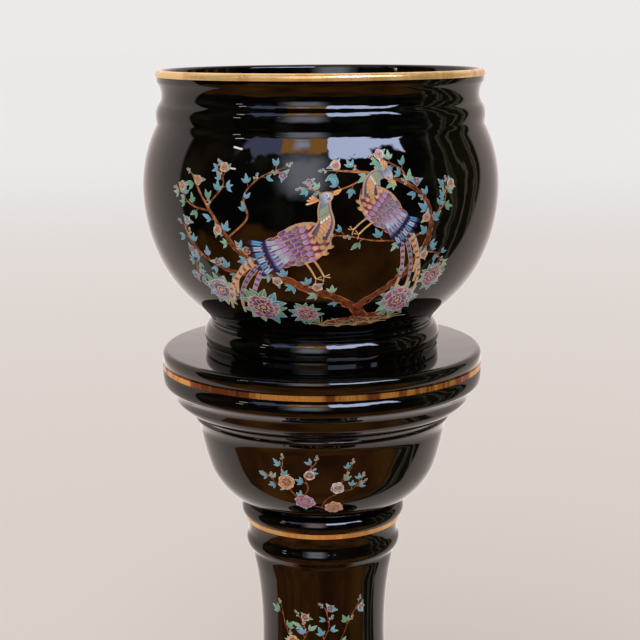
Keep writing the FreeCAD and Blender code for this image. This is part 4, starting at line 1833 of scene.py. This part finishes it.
@dataclass(frozen=True)
class Patch:
    """Something in the room that only the gloss shows, in degrees round from the front and above level."""

    west: float
    east: float
    low: float
    high: float
    colour: Colour
    strength: float
    soft: float = 1.5
    ragged: float = 0.0

    def over(self, graph: Graph, room: bpy.types.NodeSocket, at: Number, up: Number) -> bpy.types.NodeSocket:
        """Adds the patch to the room.

        Args:
            graph: the world's nodes.
            room: the colour of the room so far.
            at: degrees round from the front, left of it below 0.
            up: degrees above level.

        Returns:
            The room with the patch.
        """
        if self.ragged:
            way = graph.node("TexCoord").outputs["Generated"]
            up = up + (graph.noise(7.0, 4.0, way) - 0.5) * self.ragged
            at = at + (graph.noise(4.0, 3.0, way) - 0.5) * (self.ragged * 0.8)
        within = graph.step(at, self.west - self.soft, self.west + self.soft)
        within = within * graph.step(at, self.east + self.soft, self.east - self.soft)
        within = within * graph.step(up, self.low - self.soft, self.low + self.soft)
        within = within * graph.step(up, self.high + self.soft, self.high - self.soft)
        return graph.mix(within, room, self.colour.linear(self.strength))


@dataclass
class Studio:
    """Pale floor, soft light, a pale surround with a dark room in front of the pot, and the camera.

    The room's edges are pairs of degrees, between which one thing gives way to the next.
    """

    camera_place: tuple[float, float, float] = (-0.0016, -1.3437, 0.8371)
    camera_tilt: float = 11.476
    camera_roll: float = 0.352
    lens: float = 81.12
    floor_radius: float = 60.0
    # painted shade: the paper's colour near the object, darker than far_paper
    near_paper: Colour = Colour(220, 210, 204)
    far_paper: Colour = Colour(236, 234, 233)
    near: float = 0.5
    far: float = 9.0
    ambient: float = 0.58
    sun: float = 1.25
    sun_height: float = 50.0
    sun_spread: float = 50.0
    sun_way: tuple[float, float, float] = (0.22, 0.64, -0.77)
    floor_edge: tuple[float, float] = (-20.0, -27.0)
    curtain_edge: tuple[float, float] = (72.0, 84.0)
    left_wall: tuple[float, float] = (-98.0, -101.0)
    right_wall: float = 121.0
    back_edge: tuple[float, float] = (140.0, 172.0)
    # west, east, low and high edge, colour, strength, softness of the edges, raggedness
    patches: tuple[Patch, ...] = (
        Patch(-24, 2, 4, 32, Colour(200, 204, 216), 3.6, 8.0, 12.0),
        Patch(-62, -26, 30, 47, Colour(150, 156, 200), 2.6, 3.0, 34.0),
        Patch(-28, 5, 34, 50, Colour(214, 150, 76), 4.6, 1.2, 9.0),
        Patch(6, 60, 30, 51, Colour(206, 218, 255), 12.0, 0.8, 15.0),
        Patch(36, 54, 16, 36, Colour(20, 20, 16), 1.0, 1.5, 14.0),
        Patch(-19, -10, 37, 43, Colour(200, 210, 240), 6.0, 2.5, 9.0),
        Patch(-65, -58, 31.5, 32.7, Colour(255, 250, 235), 16.0, 0.3),
        Patch(-63, -57, 17, 18, Colour(255, 250, 235), 14.0, 0.3),
        Patch(126, 127.5, -25, 40, Colour(255, 214, 160), 2.4, 0.4),
    )

    def build(self) -> None:
        """Sets up everything round the object."""
        bpy.context.scene.view_settings.view_transform = "Standard"
        self.floor()
        self.surround()
        self.light()
        self.camera()

    def floor(self) -> None:
        """A wide disc of pale paper, with painted shade that makes it a little darker near the object."""
        bpy.ops.object.select_all(action="DESELECT")
        bpy.ops.mesh.primitive_circle_add(vertices=96, radius=self.floor_radius, fill_type="NGON")
        floor = bpy.context.active_object
        floor.name = "floor"
        material = bpy.data.materials.new("paper")
        material.use_nodes = True
        graph = Graph(material.node_tree)
        away = graph.node("VectorMath", {"operation": "LENGTH"}, {0: graph.place()}).outputs["Value"]
        far = graph.step(Number(graph, away), self.near, self.far)
        light = self.ambient + self.sun * math.sin(math.radians(self.sun_height)) / math.pi
        # painted shade: the paper is painted darker near the object and paler far away
        colour = graph.mix(far, self.near_paper.linear(1 / light), self.far_paper.linear(1 / light))
        shader = graph.node("BsdfDiffuse", None, {"Color": colour})
        graph.node("OutputMaterial", None, {"Surface": shader.outputs[0]})
        floor.data.materials.append(material)
        floor.visible_glossy = False

    def surround(self) -> None:
        """The world: pale to the camera, and to the gloss a pale wall round a dark room with windows."""
        world = bpy.data.worlds.new("surround")
        bpy.context.scene.world = world
        world.use_nodes = True
        graph = Graph(world.node_tree)
        path = graph.node("LightPath")
        glossy = Number(graph, path.outputs["Is Glossy Ray"])
        seen = Number(graph, path.outputs["Is Camera Ray"])
        grey = Colour(255, 255, 255).linear(self.ambient)
        lit = graph.mix(glossy, grey, self.room(graph))
        shown = graph.mix(seen, lit, self.far_paper.linear())
        background = graph.node("Background", None, {"Color": shown, "Strength": 1.0})
        graph.node("OutputWorld", None, {"Surface": background.outputs[0]})

    def room(self, graph: Graph) -> bpy.types.NodeSocket:
        """What the gloss reflects: a dark room with a brown floor, windows, a curtain and pale walls.

        Args:
            graph: the world's nodes.

        Returns:
            Its colour.
        """
        way = graph.node("TexCoord").outputs["Generated"]
        x, y, z = graph.axes(way)
        at = graph.maths("ARCTAN2", x, y * -1.0) * (180 / math.pi)
        up = graph.maths("ARCSINE", z) * (180 / math.pi)
        clouds = graph.noise(2.6, 5.0, way)
        room = self.dusk(graph, up, clouds)
        *windows, gap = self.patches
        for patch in windows:
            room = patch.over(graph, room, at, up)
        room = graph.mix(graph.step(at, *self.curtain_edge), room, self.cloth(graph, at, clouds))
        room = gap.over(graph, room, at, up)
        right = graph.step(at - graph.maths("MINIMUM", up * 0.45 + self.right_wall, 123.0), -1.5, 1.5)
        left = graph.step(at + up * 0.12, *self.left_wall)
        behind = graph.step(abs(at), *self.back_edge)
        pale = graph.mix(behind, Colour(224, 208, 200).linear(), Colour(255, 240, 237).linear(1.15))
        return graph.mix(graph.maths("MAXIMUM", left, right), room, pale)

    def dusk(self, graph: Graph, up: Number, clouds: Number) -> bpy.types.NodeSocket:
        """The dark of the room, cloudy, over a brown floor with a wavy edge.

        Args:
            graph: the world's nodes.
            up: degrees above level.
            clouds: a soft noise.

        Returns:
            Its colour.
        """
        lighter, darker = graph.step(clouds, 0.45, 0.8), graph.step(clouds, 0.3, 0.7)
        dark = graph.mix(lighter, Colour(8, 7, 6).linear(), Colour(88, 90, 62).linear())
        brown = graph.mix(darker, Colour(186, 120, 52).linear(), Colour(120, 68, 24).linear())
        below = graph.step(up + (clouds - 0.5) * 26.0, *self.floor_edge)
        return graph.mix(below, dark, brown)

    def cloth(self, graph: Graph, at: Number, clouds: Number) -> bpy.types.NodeSocket:
        """The curtain, in uneven folds.

        Args:
            graph: the world's nodes.
            at: degrees round from the front.
            clouds: a soft noise.

        Returns:
            Its colour.
        """
        drape = at + clouds * 26.0
        wide, narrow = graph.maths("SINE", drape * 0.5), graph.maths("SINE", drape * 1.3 + 1.0)
        folds = graph.step(wide + narrow * 0.6, -0.1, 1.4)
        return graph.mix(folds, Colour(60, 52, 38).linear(), Colour(170, 162, 132).linear())

    def light(self) -> None:
        """One broad soft sun from above the camera's left shoulder, which the gloss doesn't reflect."""
        data = bpy.data.lights.new("sun", "SUN")
        data.energy = self.sun
        data.angle = math.radians(self.sun_spread)
        lamp = bpy.data.objects.new("sun", data)
        bpy.context.collection.objects.link(lamp)
        lamp.location = (-1.0, -3.0, 4.0)
        lamp.rotation_euler = Vector(self.sun_way).to_track_quat("-Z", "Y").to_euler()
        lamp.visible_glossy = False

    def camera(self) -> None:
        """The camera, at the photograph's place, tilt and lens."""
        data = bpy.data.cameras.new("camera")
        data.sensor_width = 36.0
        data.lens = self.lens
        data.clip_end = 100.0
        camera = bpy.data.objects.new("camera", data)
        bpy.context.collection.objects.link(camera)
        tilt = Matrix.Rotation(math.radians(90.0 - self.camera_tilt), 4, "X")
        roll = Matrix.Rotation(math.radians(-self.camera_roll), 4, "Z")
        camera.matrix_world = Matrix.Translation(self.camera_place) @ tilt @ roll
        bpy.context.scene.camera = camera


def main() -> None:
    """Dresses the pot and its stand, and sets up the studio."""
    logging.basicConfig(level=logging.INFO, format="%(message)s")
    Studio().build()
    Pedestal().build()
    Jardiniere().build()


if __name__ == "__main__":
    main()
